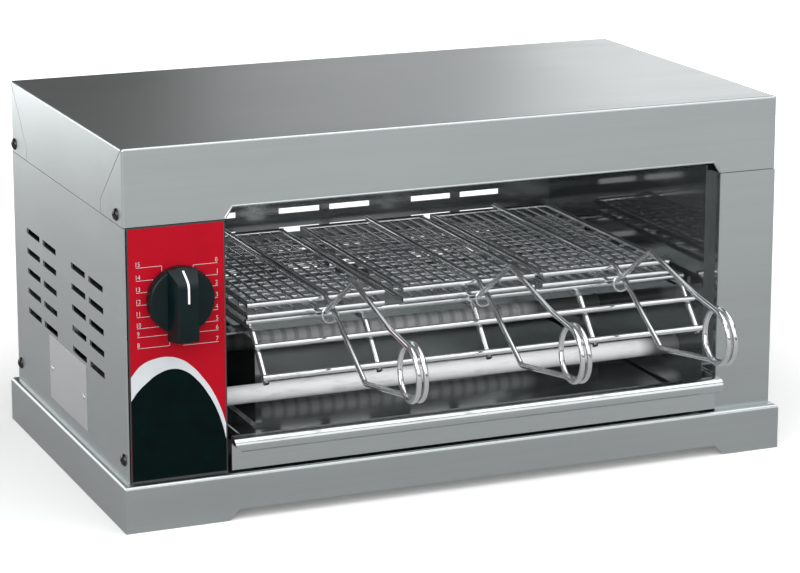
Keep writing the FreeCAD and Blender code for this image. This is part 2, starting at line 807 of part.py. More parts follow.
def rack():
    """Five bent depth bars, four long wires across them, and brackets on the walls."""
    wire = size("rack_wire")
    level = size("rack_level")
    front = -size("body_depth") / 2
    rear = front + size("tong_front") + size("tong_depth") + size("rack_rear_reach")
    angle = math.radians(size("guard_angle"))
    bend_y = front + size("rack_bend_place")
    end_y = bend_y - size("guard_length") * math.cos(angle)
    end_z = level - size("guard_length") * math.sin(angle)
    for number in range(5):
        x = -size("body_width") / 2 + size("rack_first_bar") + number * size("rack_bar_pitch")
        points = [Vector(x, rear, level), Vector(x, bend_y, level), Vector(x, end_y, end_z)]
        shape = tube_along(rounded_runs(points, [size("rack_bend_radius")]), wire)
        made("depth_bar_%d" % (number + 1), shape, "rack_depth_bar_%d" % (number + 1))

    left = LEFT + " + rack_first_bar - rack_end_reach"
    length = "4 * rack_bar_pitch + 2 * rack_end_reach"
    top = "rack_level + rack_wire"
    bend = FRONT + " + rack_bend_place"
    guard_y = bend + " - %s * cos(guard_angle) - rack_wire * sin(guard_angle)"
    guard_z = "rack_level - %s * sin(guard_angle) + rack_wire * cos(guard_angle)"
    bars = (("rack_front_bar", FRONT + " + rack_top_bar", top),
            ("rack_rear_bar", FRONT + " + tong_front + tong_depth", top),
            ("rack_guard_upper_bar", guard_y % "guard_upper_run", guard_z % "guard_upper_run"),
            ("rack_guard_lower_bar", guard_y % "guard_lower_run", guard_z % "guard_lower_run"))
    for name, y, z in bars:
        node(cylinder(name, (left, y, z), "rack_wire / 2", length, ALONG_X), name)

    pieces = []
    shelf_top = "rack_level - rack_wire / 2"
    first_reach = "rack_first_bar - control_inset - control_width + bracket_overlap"
    last_reach = ("body_width - chamber_right - rack_first_bar - 4 * rack_bar_pitch"
                  " + bracket_overlap")
    for side, shelf_left, reach, lug_left in (
            ("left", CONTROL_EDGE, first_reach, CONTROL_EDGE),
            ("right", CHAMBER_RIGHT + " - (%s)" % last_reach, last_reach,
             CHAMBER_RIGHT + " - sheet_wall")):
        for end, y in (("front", FRONT + " + bracket_front_place"),
                       ("rear", FRONT + " + tong_front + tong_depth - bracket_depth")):
            name = "%s_%s_bracket" % (side, end)
            shelf = box(name + "_shelf", (shelf_left, y, shelf_top + " - sheet_wall"),
                        (reach, "bracket_depth", "sheet_wall"))
            lug = box(name + "_lug", (lug_left, y, shelf_top + " - bracket_drop"),
                      ("sheet_wall", "bracket_depth", "bracket_drop + bracket_rise"))
            pieces.append(fuse(name, [shelf, lug]))
    node(group("brackets", pieces), "rack_supports")


# Crumb tray


def crumb_tray():
    """A shallow pan with a deep front, whose top edge is rolled forward into a lip."""
    left = LEFT + " + tray_left"
    width = "body_width - tray_left - column_width - tray_panel_gap"
    back_of_panel = FRONT + " - tray_proud + sheet_wall"
    panel = box("tray_panel", (left, FRONT + " - tray_proud", "tray_bottom"),
                (width, "sheet_wall", "tray_top - tray_bottom"))
    pan_left = left + " + tray_side_inset"
    pan_right = COLUMN_EDGE + " - tray_right_gap"
    pan_width = "body_width - tray_left - tray_side_inset - column_width - tray_right_gap"
    depth = "body_depth + tray_proud - 2 * sheet_wall - tray_rear_gap"
    floor = box("tray_floor", (pan_left, back_of_panel, "tray_floor_level"),
                (pan_width, depth, "sheet_wall"))
    tall = "tray_top - tray_floor_level"
    left_wall = box("tray_left_wall", (pan_left, back_of_panel, "tray_floor_level"),
                    ("sheet_wall", depth, tall))
    right_wall = box("tray_right_wall", (pan_right + " - sheet_wall", back_of_panel,
                                         "tray_floor_level"), ("sheet_wall", depth, tall))
    rear_wall = box("tray_rear_wall", (pan_left, back_of_panel + " + body_depth + tray_proud"
                                       " - 3 * sheet_wall - tray_rear_gap", "tray_floor_level"),
                    (pan_width, "sheet_wall", "wall_foot_level - tray_floor_level - slide_gap"))

    lip_length = width + " + lip_right_extra"
    lip_y = FRONT + " - tray_proud - lip_flat"
    lip_z = "tray_top - lip_radius"
    flat = box("lip_flat_outer", (left, lip_y, "tray_top - 2 * lip_radius"),
               (lip_length, "lip_flat + sheet_wall / 2", "2 * lip_radius"))
    nose = cylinder("lip_nose_outer", (left, lip_y, lip_z), "lip_radius", lip_length, ALONG_X)
    flat_inner = box("lip_flat_inner", (left + " - 1", lip_y, "tray_top - 2 * lip_radius + sheet_wall"),
                     (lip_length + " + 2", "lip_flat", "2 * lip_radius - 2 * sheet_wall"))
    nose_inner = cylinder("lip_nose_inner", (left + " - 1", lip_y, lip_z), "lip_radius - sheet_wall",
                          lip_length + " + 2", ALONG_X)
    corner = box("lip_corner", (left + " - 1", FRONT + " - tray_proud - lip_flat - lip_radius - 1",
                                "tray_top - 2 * lip_radius - 1"),
                 ("lip_end_radius + 1", "lip_radius + lip_flat + 1", "lip_end_radius + 1"))
    sweep = cylinder("lip_corner_round", (left + " + lip_end_radius",
                                          FRONT + " - tray_proud - lip_flat - lip_radius - 2",
                                          "tray_top - 2 * lip_radius + lip_end_radius"),
                     "lip_end_radius", "lip_radius + lip_flat + 4", ALONG_Y)
    trim = cut("lip_trim", corner, [sweep])
    hollow = fuse("lip_hollow", [flat_inner, nose_inner])
    lip = cut("lip", fuse("lip_solid", [flat, nose]), [hollow])
    lip = cut("lip_trimmed", lip, [trim])
    node(fuse("tray", [panel, floor, left_wall, right_wall, rear_wall, lip]), "crumb_tray")


# Tongs


def welded_grid(x, lower):
    """Frame, depth wires, cross wires and spine of one jaw, welded into one solid."""
    frame = size("frame_wire")
    mesh = size("mesh_wire")
    weld = size("weld_depth")
    spine = size("spine_wire")
    way = 1 if lower else -1
    floor_level = size("rack_level") + 1.5 * size("rack_wire") + size("slide_gap") + frame / 2
    step = (frame + mesh) / 2 - weld
    level = floor_level if lower else floor_level + 2 * step + mesh + size("jaw_gap")
    cross_level = level + way * step
    wire_level = cross_level - way * (mesh - weld)
    front = -size("body_depth") / 2 + size("tong_front")
    rear = front + size("tong_depth")
    half = size("tong_width") / 2
    along_x = Vector(1, 0, 0)
    along_y = Vector(0, 1, 0)
    bars = []
    for y in (front, rear):
        bars.append(Part.makeCylinder(frame / 2, 2 * half + frame, Vector(x - half - frame / 2, y, level),
                                      along_x))
    for end in (x - half, x + half):
        bars.append(Part.makeCylinder(frame / 2, rear - front, Vector(end, front, level), along_y))
    columns = int(size("mesh_columns"))
    for number in range(1, columns + 1):
        side = x - half + 2 * half * number / (columns + 1)
        bars.append(Part.makeCylinder(mesh / 2, rear - front, Vector(side, front, wire_level), along_y))
    rows = int(size("mesh_rows"))
    for number in range(1, rows + 1):
        y = front + (rear - front) * number / (rows + 1)
        bars.append(Part.makeCylinder(mesh / 2, 2 * half, Vector(x - half, y, cross_level), along_x))
    side = size("spine_offset") - way * size("spine_spacing") / 2
    start = front - frame / 2 - size("spine_reach")
    end = rear + frame / 2
    bars.append(Part.makeCylinder(spine / 2, end - start, Vector(x + side, start, spine_level(lower)),
                                  along_y))
    return bars[0].fuse(bars[1:])


def spine_level(lower):
    """Height of the wire that joins a jaw to its handle arm."""
    frame = size("frame_wire")
    mesh = size("mesh_wire")
    base = size("rack_level") + 1.5 * size("rack_wire") + size("slide_gap")
    if lower:
        return base + size("spine_wire") / 2
    step = (frame + mesh) / 2 - size("weld_depth")
    level = base + frame / 2 + 2 * step + mesh + size("jaw_gap")
    return level + (frame + size("spine_wire")) / 2 - size("weld_depth")


def coil_frame():
    """Centre of the coil, and the two headings at which its arms leave, in degrees."""
    low = spine_level(True)
    centre = (size("coil_ahead"), low - size("coil_drop"))
    radius = size("coil_radius")
    peak = (size("peak_ahead"), low + size("peak_rise"))
    corner = (size("corner_ahead"), low - size("corner_drop"))

    def heading(point, sign):
        across = centre[0] - point[0]
        up = centre[1] - point[1]
        return math.atan2(up, across) + sign * math.asin(radius / math.hypot(across, up))

    return centre, radius, heading(peak, 1), heading(corner, -1)


def tong_wires(x):
    """The lower jaw's arm with its coil, and the upper jaw's arm."""
    front = -size("body_depth") / 2 + size("tong_front")
    wire = size("spine_wire")
    half = size("spine_spacing") / 2
    low = spine_level(True)
    centre, radius, peak_heading, corner_heading = coil_frame()
    pitch = size("coil_pitch")
    total = (math.pi + peak_heading - corner_heading) / (2 * math.pi) + size("coil_extra_turns")
    slope = math.atan2(pitch, 2 * math.pi * radius)
    first_side = size("coil_side") - pitch * total / 2
    left = size("spine_offset") - half
    right = size("spine_offset") + half

    def at(ahead, level, sideways):
        return Vector(x + sideways, front - ahead, level)

    def place_at(turn):
        heading = peak_heading - 2 * math.pi * turn
        return at(centre[0] - radius * math.sin(heading), centre[1] + radius * math.cos(heading),
                  first_side + pitch * turn)

    def way_at(turn):
        heading = peak_heading - 2 * math.pi * turn
        return Vector(math.sin(slope), -math.cos(slope) * math.cos(heading),
                      math.cos(slope) * math.sin(heading))

    bend = size("handle_bend")
    straight = size("arm_straight")
    start = size("frame_wire") / 2 + size("spine_reach")
    knee = start + size("knee_run")
    points = [at(start, low, left),
              at(knee, low, left),
              at(size("eye_ahead"), low + size("eye_rise"), size("eye_side") - half),
              at(size("peak_ahead"), low + size("peak_rise"), size("peak_side") - half),
              place_at(0) - way_at(0) * straight,
              place_at(0)]
    edges = rounded_runs(points, [size("knee_bend"), bend, bend, 3 * straight])
    winding = helix(place_at, way_at, total)
    turn_length = math.hypot(2 * math.pi * radius, pitch)
    if abs(x - tong_centres()[0]) < 0.01:
        report_gap("tong coil", winding, wire, turn_length)
    lower = tube_along(edges + winding, wire)

    high = spine_level(False)
    end = place_at(total) + way_at(total) * size("slide_gap")
    points = [at(start, high, right),
              at(knee, high, right),
              at(size("eye_ahead"), low + size("eye_rise"), size("eye_side") + half),
              at(size("corner_ahead"), low - size("corner_drop"), size("corner_side") + half),
              end + way_at(total) * straight,
              end]
    upper = tube_along(rounded_runs(points, [size("knee_bend"), bend, bend, 3 * straight]), wire)
    return lower, upper


def keeper(x):
    """The small hook on the lower arm that reaches under the upper arm where they cross."""
    front = -size("body_depth") / 2 + size("tong_front")
    radius = size("keeper_radius")
    centre = Vector(x + size("eye_side"), front - size("eye_ahead"),
                    spine_level(True) + size("eye_rise") - size("keeper_drop"))
    points = []
    for degrees in (135, 235, 370):
        angle = math.radians(degrees)
        points.append(centre + Vector(radius * math.cos(angle), 0, radius * math.sin(angle)))
    return tube_along([Part.Arc(*points).toShape()], size("keeper_wire"))


def tong_centres():
    """Middle of each tong across the body."""
    left = -size("body_width") / 2
    return [left + size(name) for name in ("first_tong", "second_tong", "third_tong")]


def tongs():
    """Three tongs, each of two welded jaws and two wire arms that cross."""
    origin = tong_centres()[0]
    lower_grid = welded_grid(origin, True)
    upper_grid = welded_grid(origin, False)
    lower_arm, upper_arm = tong_wires(origin)
    lower_arm = lower_arm.fuse(keeper(origin))
    for number, x in enumerate(tong_centres(), 1):
        for part_name, shape in (("lower_grid", lower_grid), ("spring_handle", lower_arm),
                                 ("upper_grid", upper_grid), ("handle_arm", upper_arm)):
            item = made("tong%d_%s" % (number, part_name), shape.copy(),
                        "tong_%d_%s" % (number, part_name))
            item.Placement = Placement(Vector(x - origin, 0, 0), Rotation())


# Knob and timer


def knob():
    """A round knob with a sloped grip bar, its pointer line, and the timer behind it."""
    x = LEFT + " + knob_place"
    y = FRONT + " - label_thickness - knob_gap"
    body = new_body("knob")
    offset = (y, "knob_level", x)
    sketch = sketch_on(body, "knob_section", "YZ_Plane", offset)
    outline(sketch, [("0", "nut_flats / 2 / cos(30) + nut_clearance"), ("0", "knob_radius"),
                     ("-knob_thickness + knob_chamfer", "knob_radius"),
                     ("-knob_thickness", "knob_radius - knob_chamfer"),
                     ("-knob_thickness", "0"),
                     ("-shaft_reach", "0"), ("-shaft_reach", "shaft_radius + shaft_fit"),
                     ("-nut_thickness - knob_gap", "shaft_radius + shaft_fit"),
                     ("-nut_thickness - knob_gap", "nut_flats / 2 / cos(30) + nut_clearance")])
    turned = body.newObject("PartDesign::Revolution", "knob_disc")
    turned.Profile = sketch
    turned.ReferenceAxis = (sketch, ["H_Axis"])
    turned.Angle = 360
    sketch.Visibility = False
    sketch = sketch_on(body, "grip_section", "YZ_Plane", (y, "knob_level", x + " - grip_width / 2"))
    face = "-knob_thickness"
    outline(sketch, [(face + " + knob_chamfer", "-grip_below"),
                     (face + " - grip_height", "-grip_below + grip_draft"),
                     (face + " - grip_height", "grip_above - grip_slope"),
                     (face, "grip_above"),
                     (face + " + knob_chamfer", "grip_above")])
    feature(body, "Pad", "knob_grip", sketch, "grip_width")

    body = new_body("knob_pointer")
    sketch = sketch_on(body, "pointer_section", "YZ_Plane",
                       (y, "knob_level", x + " - pointer_width / 2"))
    outline(sketch, [(face + " - grip_height", "0"),
                     (face + " - grip_height", "grip_above - grip_slope"),
                     (face, "grip_above"),
                     (face + " - pointer_proud", "grip_above + pointer_proud / 2"),
                     (face + " - grip_height - pointer_proud",
                      "grip_above - grip_slope + pointer_proud / 2"),
                     (face + " - grip_height - pointer_proud", "0")])
    feature(body, "Pad", "pointer_line", sketch, "pointer_width")

    behind = FRONT + " + sheet_wall"
    node(cylinder("shaft", (x, behind + " + timer_depth / 2 - slide_gap", "knob_level"),
                  "shaft_radius", "timer_depth / 2 - slide_gap + sheet_wall + label_thickness"
                  " + knob_gap + shaft_reach", TOWARD_FRONT), "timer_shaft")
    case = box("timer_case", (x + " - timer_width / 2", behind, "knob_level - timer_height / 2"),
               ("timer_width", "timer_depth", "timer_height"))
    bush = cylinder("timer_bush", (x, behind, "knob_level"), "bush_radius",
                    "sheet_wall + nut_thickness", TOWARD_FRONT)
    bore = cylinder("timer_bore", (x, behind + " + timer_depth / 2", "knob_level"),
                    "shaft_radius + shaft_fit", "timer_depth", TOWARD_FRONT)
    node(cut("timer", fuse("timer_solid", [case, bush]), [bore]), "timer_body")
    nut = hexagon("bush_nut", (x, FRONT, "knob_level"), "nut_flats", "nut_thickness", TOWARD_FRONT)
    hole = cylinder("bush_nut_hole", (x, FRONT + " + 1", "knob_level"), "bush_radius + shaft_fit",
                    "nut_thickness + 2", TOWARD_FRONT)
    node(cut("bush_nut_cut", nut, [hole]), "timer_nut")


# Small pieces


def rating_plate():
    """A bare plate on the left side and the two rivets that hold it."""
    x = LEFT + " - plate_thickness"
    y = FRONT + " + plate_front"
    node(box("plate", (x, y, "plate_level"), ("plate_thickness", "plate_length", "plate_height")),
         "rating_plate")
    rivets = []
    for name, along in (("front_rivet", y + " + rivet_margin"),
                        ("rear_rivet", y + " + plate_length - rivet_margin")):
        rivets.append(cone(name, (x + " - rivet_height", along, "plate_level + plate_height / 2"),
                           "rivet_radius * 0.6", "rivet_radius", "rivet_height", ALONG_X))
    node(group("rivets", rivets), "plate_rivets")


def side_screws():
    """Pan-head screws near the corners of both sides."""
    screws = []
    for side, base, turn in (("left", LEFT, Rotation(Vector(0, 1, 0), -90)),
                             ("right", RIGHT, ALONG_X)):
        for level_name, level, front in (("upper", "upper_screw_level", "front_screw_inset"),
                                         ("lower", "lower_screw_level", "screw_inset")):
            for end, y in (("front", FRONT + " + " + front), ("rear", REAR + " - screw_inset")):
                name = "%s_%s_%s_screw" % (side, level_name, end)
                head = cone(name + "_head", (base, y, level), "screw_radius", "screw_radius * 0.7",
                            "screw_head", turn)
                out = base + (" - screw_head * 1.5" if side == "left" else " + screw_head * 1.5")
                back = Rotation(Vector(0, 1, 0), 90 if side == "left" else -90)
                socket = hexagon(name + "_socket", (out, y, level), "2 * screw_socket",
                                 "screw_head", back)
                screws.append(cut(name, head, [socket]))
    node(group("screws", screws), "side_screws")


def cable_entry():
    """The gland in the back wall, its nut inside, and the terminal block on the base."""
    x = LEFT + " + gland_place"
    thread = cylinder("gland_thread", (x, REAR + " - sheet_wall - gland_nut_thickness - 2",
                                       "gland_level"), "gland_radius",
                      "sheet_wall + gland_nut_thickness + 2", ALONG_Y)
    flange = hexagon("gland_flange", (x, REAR, "gland_level"), "gland_flats", "gland_reach / 2", ALONG_Y)
    dome = cone("gland_dome", (x, REAR + " + gland_reach / 2", "gland_level"),
                "gland_flats / 2 - 0.5", "gland_bore + 2", "gland_reach / 2", ALONG_Y)
    bore = cylinder("gland_bore_cut", (x, REAR + " - sheet_wall - gland_nut_thickness - 3",
                                       "gland_level"), "gland_bore",
                    "sheet_wall + gland_nut_thickness + gland_reach + 5", ALONG_Y)
    node(cut("gland", fuse("gland_solid", [thread, flange, dome]), [bore]), "cable_gland")
    inside = REAR + " - sheet_wall"
    nut = hexagon("gland_ring", (x, inside, "gland_level"), "gland_flats + 2",
                  "gland_nut_thickness", TOWARD_FRONT)
    hole = cylinder("gland_ring_hole", (x, inside + " + 1", "gland_level"), "gland_radius + shaft_fit",
                    "gland_nut_thickness + 2", TOWARD_FRONT)
    node(cut("gland_ring_cut", nut, [hole]), "gland_nut")

    left = x + " - block_width / 2"
    front = REAR + " - 3 * block_depth"
    block = box("block", (left, front, "base_height"), ("block_width", "block_depth", "block_height"))
    holes = []
    for way in range(int(size("block_ways"))):
        along = "%s + block_width * %s / block_ways" % (left, way + 0.5)
        holes.append(cylinder("block_hole_%d" % (way + 1), (along, front + " + block_depth / 2",
                                                            "base_height + block_height / 2"),
                              "block_hole", "block_height", None))
    node(cut("block_drilled", block, holes), "terminal_block")


base_tray()
tray_runners()
side_panel("left_side_panel", LEFT, LEFT + " + sheet_wall")
side_panel("right_side_panel", RIGHT + " - sheet_wall", RIGHT + " - 2 * sheet_wall")
back_panel()
top_cover()
front_panels()
chamber()
for heater_name, heater_depth, heater_level, heater_wound in HEATERS:
    heater(heater_name, heater_depth, heater_level, heater_wound)
rack()
crumb_tray()
tongs()
knob()
rating_plate()
side_screws()
cable_entry()
doc.recompute()

failed = [item.Name for item in doc.Objects if "Invalid" in item.State or "Error" in item.State]
for item in NODES:
    if item.Shape.isNull() or not item.Shape.isValid() or not item.Shape.Solids:
        failed.append(item.Label)
if failed:
    raise RuntimeError("failed: " + ", ".join(failed))
os.makedirs("parts", exist_ok=True)
for item in NODES:
    item.Shape.exportStep("parts/%s.step" % item.Label)
print("%d nodes written" % len(NODES))
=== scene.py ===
import math
import bpy
from bpy.props import FloatProperty, FloatVectorProperty, PointerProperty
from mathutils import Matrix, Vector


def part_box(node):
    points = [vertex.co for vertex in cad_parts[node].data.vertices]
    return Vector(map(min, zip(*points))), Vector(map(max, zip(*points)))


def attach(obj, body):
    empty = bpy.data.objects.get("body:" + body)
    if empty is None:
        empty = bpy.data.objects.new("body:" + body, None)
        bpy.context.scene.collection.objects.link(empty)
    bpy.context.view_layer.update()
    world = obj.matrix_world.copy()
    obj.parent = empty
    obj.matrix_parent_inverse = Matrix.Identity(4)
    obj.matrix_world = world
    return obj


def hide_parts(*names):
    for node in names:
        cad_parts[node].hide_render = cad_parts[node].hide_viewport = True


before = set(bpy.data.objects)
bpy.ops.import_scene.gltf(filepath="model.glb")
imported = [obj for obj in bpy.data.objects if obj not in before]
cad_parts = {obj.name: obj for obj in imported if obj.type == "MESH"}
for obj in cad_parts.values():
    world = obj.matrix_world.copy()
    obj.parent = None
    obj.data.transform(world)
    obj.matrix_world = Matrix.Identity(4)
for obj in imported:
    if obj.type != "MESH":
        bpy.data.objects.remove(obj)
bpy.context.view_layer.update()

bl_info = {
    "name": "Quartz toaster",
    "version": (1, 0, 0),
    "blender": (4, 5, 0),
    "location": "View3D > Sidebar > Toaster",
    "description": "Finishes and small pieces of a counter-top toaster with quartz tubes",
    "category": "Object",
}

MM = 0.001
TOWARD_FRONT = (math.radians(90), 0, 0)
TOWARD_SIDE = (math.radians(90), 0, math.radians(90))


# Sizes and colours that a user may change


class ToasterSizes(bpy.types.PropertyGroup):
    """Sizes of the pieces that are modelled here."""

    print_thickness: FloatProperty(
        name="Print thickness", description="Height of one printed layer on the label",
        default=0.00005, min=0.00001, max=0.0002, precision=5, unit="LENGTH")
    digit_height: FloatProperty(
        name="Digit height", description="Height of the numbers round the knob",
        default=0.0029, min=0.002, max=0.008, precision=4, unit="LENGTH")
    leader_width: FloatProperty(
        name="Leader width", description="Width of the lines between the numbers and the knob",
        default=0.00032, min=0.0002, max=0.001, precision=5, unit="LENGTH")
    rim_round: FloatProperty(
        name="Knob rim", description="Rounding of the knob's front rim",
        default=0.0016, min=0.0003, max=0.003, precision=4, unit="LENGTH")
    nose_round: FloatProperty(
        name="Grip nose", description="Radius of the bend where the grip turns back",
        default=0.006, min=0.002, max=0.012, precision=4, unit="LENGTH")
    bead_radius: FloatProperty(
        name="Weld bead", description="Radius of a weld bead where two rack wires cross",
        default=0.0017, min=0.0005, max=0.003, precision=4, unit="LENGTH")
    hem_radius: FloatProperty(
        name="Hem", description="Radius of the rounded hem along the edge of the opening",
        default=0.0009, min=0.0004, max=0.002, precision=5, unit="LENGTH")


class ToasterColours(bpy.types.PropertyGroup):
    """Colours of the finishes."""

    steel: FloatVectorProperty(
        name="Steel", description="Brushed stainless sheet", subtype="COLOR", size=4,
        min=0, max=1, default=(0.49, 0.523, 0.526, 1))
    chrome: FloatVectorProperty(
        name="Chrome", description="Chromed wire", subtype="COLOR", size=4,
        min=0, max=1, default=(0.64, 0.66, 0.67, 1))
    label_red: FloatVectorProperty(
        name="Label", description="Ground of the label", subtype="COLOR", size=4,
        min=0, max=1, default=(0.42, 0.004, 0.015, 1))
    label_pale: FloatVectorProperty(
        name="Label arch", description="Arch and marks of the label", subtype="COLOR", size=4,
        min=0, max=1, default=(0.62, 0.65, 0.68, 1))
    label_black: FloatVectorProperty(
        name="Label dome", description="Dome of the label", subtype="COLOR", size=4,
        min=0, max=1, default=(0.0005, 0.0042, 0.0042, 1))
    knob: FloatVectorProperty(
        name="Knob", description="Moulded knob", subtype="COLOR", size=4,
        min=0, max=1, default=(0.001, 0.007, 0.008, 1))
    quartz: FloatVectorProperty(
        name="Quartz", description="Frosted quartz tube", subtype="COLOR", size=4,
        min=0, max=1, default=(0.97, 0.98, 0.99, 1))


# Shader groups


def new_group(name, inputs, outputs):
    """An empty shader group with named sockets, its input and its output node."""
    tree = bpy.data.node_groups.new(name, "ShaderNodeTree")
    for label, kind, value in inputs:
        socket = tree.interface.new_socket(label, in_out="INPUT", socket_type="NodeSocket" + kind)
        if value is not None:
            socket.default_value = value
    for label, kind in outputs:
        tree.interface.new_socket(label, in_out="OUTPUT", socket_type="NodeSocket" + kind)
    return tree, tree.nodes.new("NodeGroupInput"), tree.nodes.new("NodeGroupOutput")


def noise(tree, vector, detail=3.0, scale=1.0):
    """A noise texture fed by a vector socket."""
    node = tree.nodes.new("ShaderNodeTexNoise")
    node.inputs["Scale"].default_value = scale
    node.inputs["Detail"].default_value = detail
    tree.links.new(vector, node.inputs["Vector"])
    return node.outputs["Fac"]


def feed(tree, target, value):
    """Link another socket to a socket, or set it to a plain value."""
    if isinstance(value, bpy.types.NodeSocket):
        tree.links.new(value, target)
    else:
        target.default_value = value


def scaled(tree, vector, factor):
    """A vector multiplied by another vector or by plain numbers."""
    node = tree.nodes.new("ShaderNodeVectorMath")
    node.operation = "MULTIPLY"
    feed(tree, node.inputs[0], vector)
    feed(tree, node.inputs[1], factor)
    return node.outputs[0]


def maths(tree, operation, *values, clamp=False):
    """One arithmetic step on one or two values, each a socket or a number."""
    node = tree.nodes.new("ShaderNodeMath")
    node.operation = operation
    node.use_clamp = clamp
    for target, value in zip(node.inputs, values):
        feed(tree, target, value)
    return node.outputs[0]


def ramp(tree, value, low, high, start=0.0, end=1.0):
    """A value mapped from one range to another and held inside it."""
    node = tree.nodes.new("ShaderNodeMapRange")
    names = ("Value", "From Min", "From Max", "To Min", "To Max")
    for name, number in zip(names, (value, low, high, start, end)):
        feed(tree, node.inputs[name], number)
    return node.outputs["Result"]


def coordinate(tree, position, axis):
    """One coordinate of a position, by its letter."""
    split = tree.nodes.new("ShaderNodeSeparateXYZ")
    tree.links.new(position, split.inputs[0])
    return split.outputs[axis]


def build_sheet_grain():
    """Long fine scratches of a brushed sheet, with broad uneven patches."""
    tree, inside, out = new_group(
        "Sheet grain",
        [("Position", "Vector", None), ("Stretch", "Vector", (6.0, 700.0, 700.0)),
         ("Roughness", "Float", 0.3), ("Spread", "Float", 0.08), ("Patches", "Float", 0.5)],
        [("Tint", "Float"), ("Roughness", "Float"), ("Height", "Float")])
    position = inside.outputs["Position"]
    along = scaled(tree, position, inside.outputs["Stretch"])
    scratches = maths(tree, "MULTIPLY", noise(tree, along, 5.0), 0.55)
    smears = maths(tree, "MULTIPLY", noise(tree, scaled(tree, along, (0.12, 0.12, 0.12)), 3.0), 0.45)
    patches = noise(tree, scaled(tree, position, (9.0, 9.0, 9.0)), 4.0)
    mixed = maths(tree, "ADD", scratches, smears)
    rough = maths(tree, "MULTIPLY", maths(tree, "SUBTRACT", mixed, 0.5), 2.0)
    rough = maths(tree, "MULTIPLY", rough, inside.outputs["Spread"])
    uneven = maths(tree, "MULTIPLY", maths(tree, "SUBTRACT", patches, 0.5), inside.outputs["Patches"])
    rough = maths(tree, "ADD", rough, maths(tree, "MULTIPLY", uneven, 0.12))
    rough = maths(tree, "ADD", rough, inside.outputs["Roughness"], clamp=True)
    tint = maths(tree, "ADD", maths(tree, "MULTIPLY", mixed, 0.6), maths(tree, "MULTIPLY", patches, 0.4))
    tree.links.new(tint, out.inputs["Tint"])
    tree.links.new(rough, out.inputs["Roughness"])
    tree.links.new(mixed, out.inputs["Height"])
    return tree


def build_wire_polish():
    """Faint drawing marks, burnt-on stains and uneven gloss of a plated wire."""
    tree, inside, out = new_group(
        "Wire polish",
        [("Position", "Vector", None), ("Roughness", "Float", 0.1), ("Stain", "Float", 0.3)],
        [("Mask", "Float"), ("Roughness", "Float"), ("Height", "Float")])
    position = inside.outputs["Position"]
    stains = ramp(tree, noise(tree, position, 4.0, 60.0), 0.52, 0.72)
    fine = noise(tree, position, 2.0, 900.0)
    mask = maths(tree, "MULTIPLY", stains, inside.outputs["Stain"])
    rough = maths(tree, "ADD", inside.outputs["Roughness"], maths(tree, "MULTIPLY", mask, 0.25), clamp=True)
    tree.links.new(mask, out.inputs["Mask"])
    tree.links.new(rough, out.inputs["Roughness"])
    tree.links.new(fine, out.inputs["Height"])
    return tree


def build_moulded_skin():
    """Fine pebbled skin and soft handling marks of a moulding or a fired piece."""
    tree, inside, out = new_group(
        "Moulded skin",
        [("Position", "Vector", None), ("Scale", "Float", 1500.0), ("Roughness", "Float", 0.35),
         ("Handling", "Float", 0.1)],
        [("Mask", "Float"), ("Roughness", "Float"), ("Height", "Float")])
    position = inside.outputs["Position"]
    cells = tree.nodes.new("ShaderNodeTexVoronoi")
    tree.links.new(position, cells.inputs["Vector"])
    tree.links.new(inside.outputs["Scale"], cells.inputs["Scale"])
    marks = ramp(tree, noise(tree, position, 5.0, 90.0), 0.35, 0.7)
    rough = maths(tree, "MULTIPLY", marks, inside.outputs["Handling"])
    rough = maths(tree, "ADD", rough, inside.outputs["Roughness"], clamp=True)
    tree.links.new(marks, out.inputs["Mask"])
    tree.links.new(rough, out.inputs["Roughness"])
    tree.links.new(cells.outputs["Distance"], out.inputs["Height"])
    return tree


GROUPS = {}


# Materials


class Finish:
    """A material under construction: its tree, its shader, the object position and the shader
    group that was placed last."""

    def __init__(self, name):
        self.material = bpy.data.materials.new(name)
        self.material.use_nodes = True
        self.tree = self.material.node_tree
        self.shader = self.tree.nodes["Principled BSDF"]
        self.position = self.tree.nodes.new("ShaderNodeTexCoord").outputs["Object"]
        self.pattern = None

    def group(self, name, **values):
        """Place a shader group, fed by the object position."""
        node = self.tree.nodes.new("ShaderNodeGroup")
        node.node_tree = GROUPS[name]
        self.tree.links.new(self.position, node.inputs["Position"])
        for label, value in values.items():
            node.inputs[label].default_value = value
        self.pattern = node
        return node

    def set(self, **values):
        """Plain numbers and colours on the shader's own sockets."""
        for label, value in values.items():
            self.shader.inputs[label.replace("_", " ")].default_value = value

    def link(self, socket, label):
        """Feed one of the shader's sockets."""
        self.tree.links.new(socket, self.shader.inputs[label])

    def colour(self, factor, low, high):
        """Base colour between two colours by a mask."""
        node = self.tree.nodes.new("ShaderNodeMix")
        node.data_type = "RGBA"
        self.tree.links.new(factor, node.inputs["Factor"])
        node.inputs["A"].default_value = low
        node.inputs["B"].default_value = high
        self.link(node.outputs["Result"], "Base Color")

    def bump(self, height, strength, distance):
        """Relief from a height socket."""
        node = self.tree.nodes.new("ShaderNodeBump")
        node.inputs["Strength"].default_value = strength
        node.inputs["Distance"].default_value = distance
        self.tree.links.new(height, node.inputs["Height"])
        self.link(node.outputs["Normal"], "Normal")


def shade(colour, factor):
    """A colour made darker or lighter."""
    return tuple(min(1.0, part * factor) for part in colour[:3]) + (1.0,)


# How far the scratches run: few waves a metre along an axis and many across it
ALONG_X = (6.0, 700.0, 700.0)
ALONG_Y = (700.0, 6.0, 700.0)

# Crossed with a face's normal it gives the level direction; the small Y part serves the top
NEARLY_UP = (0, 0.05, 1)


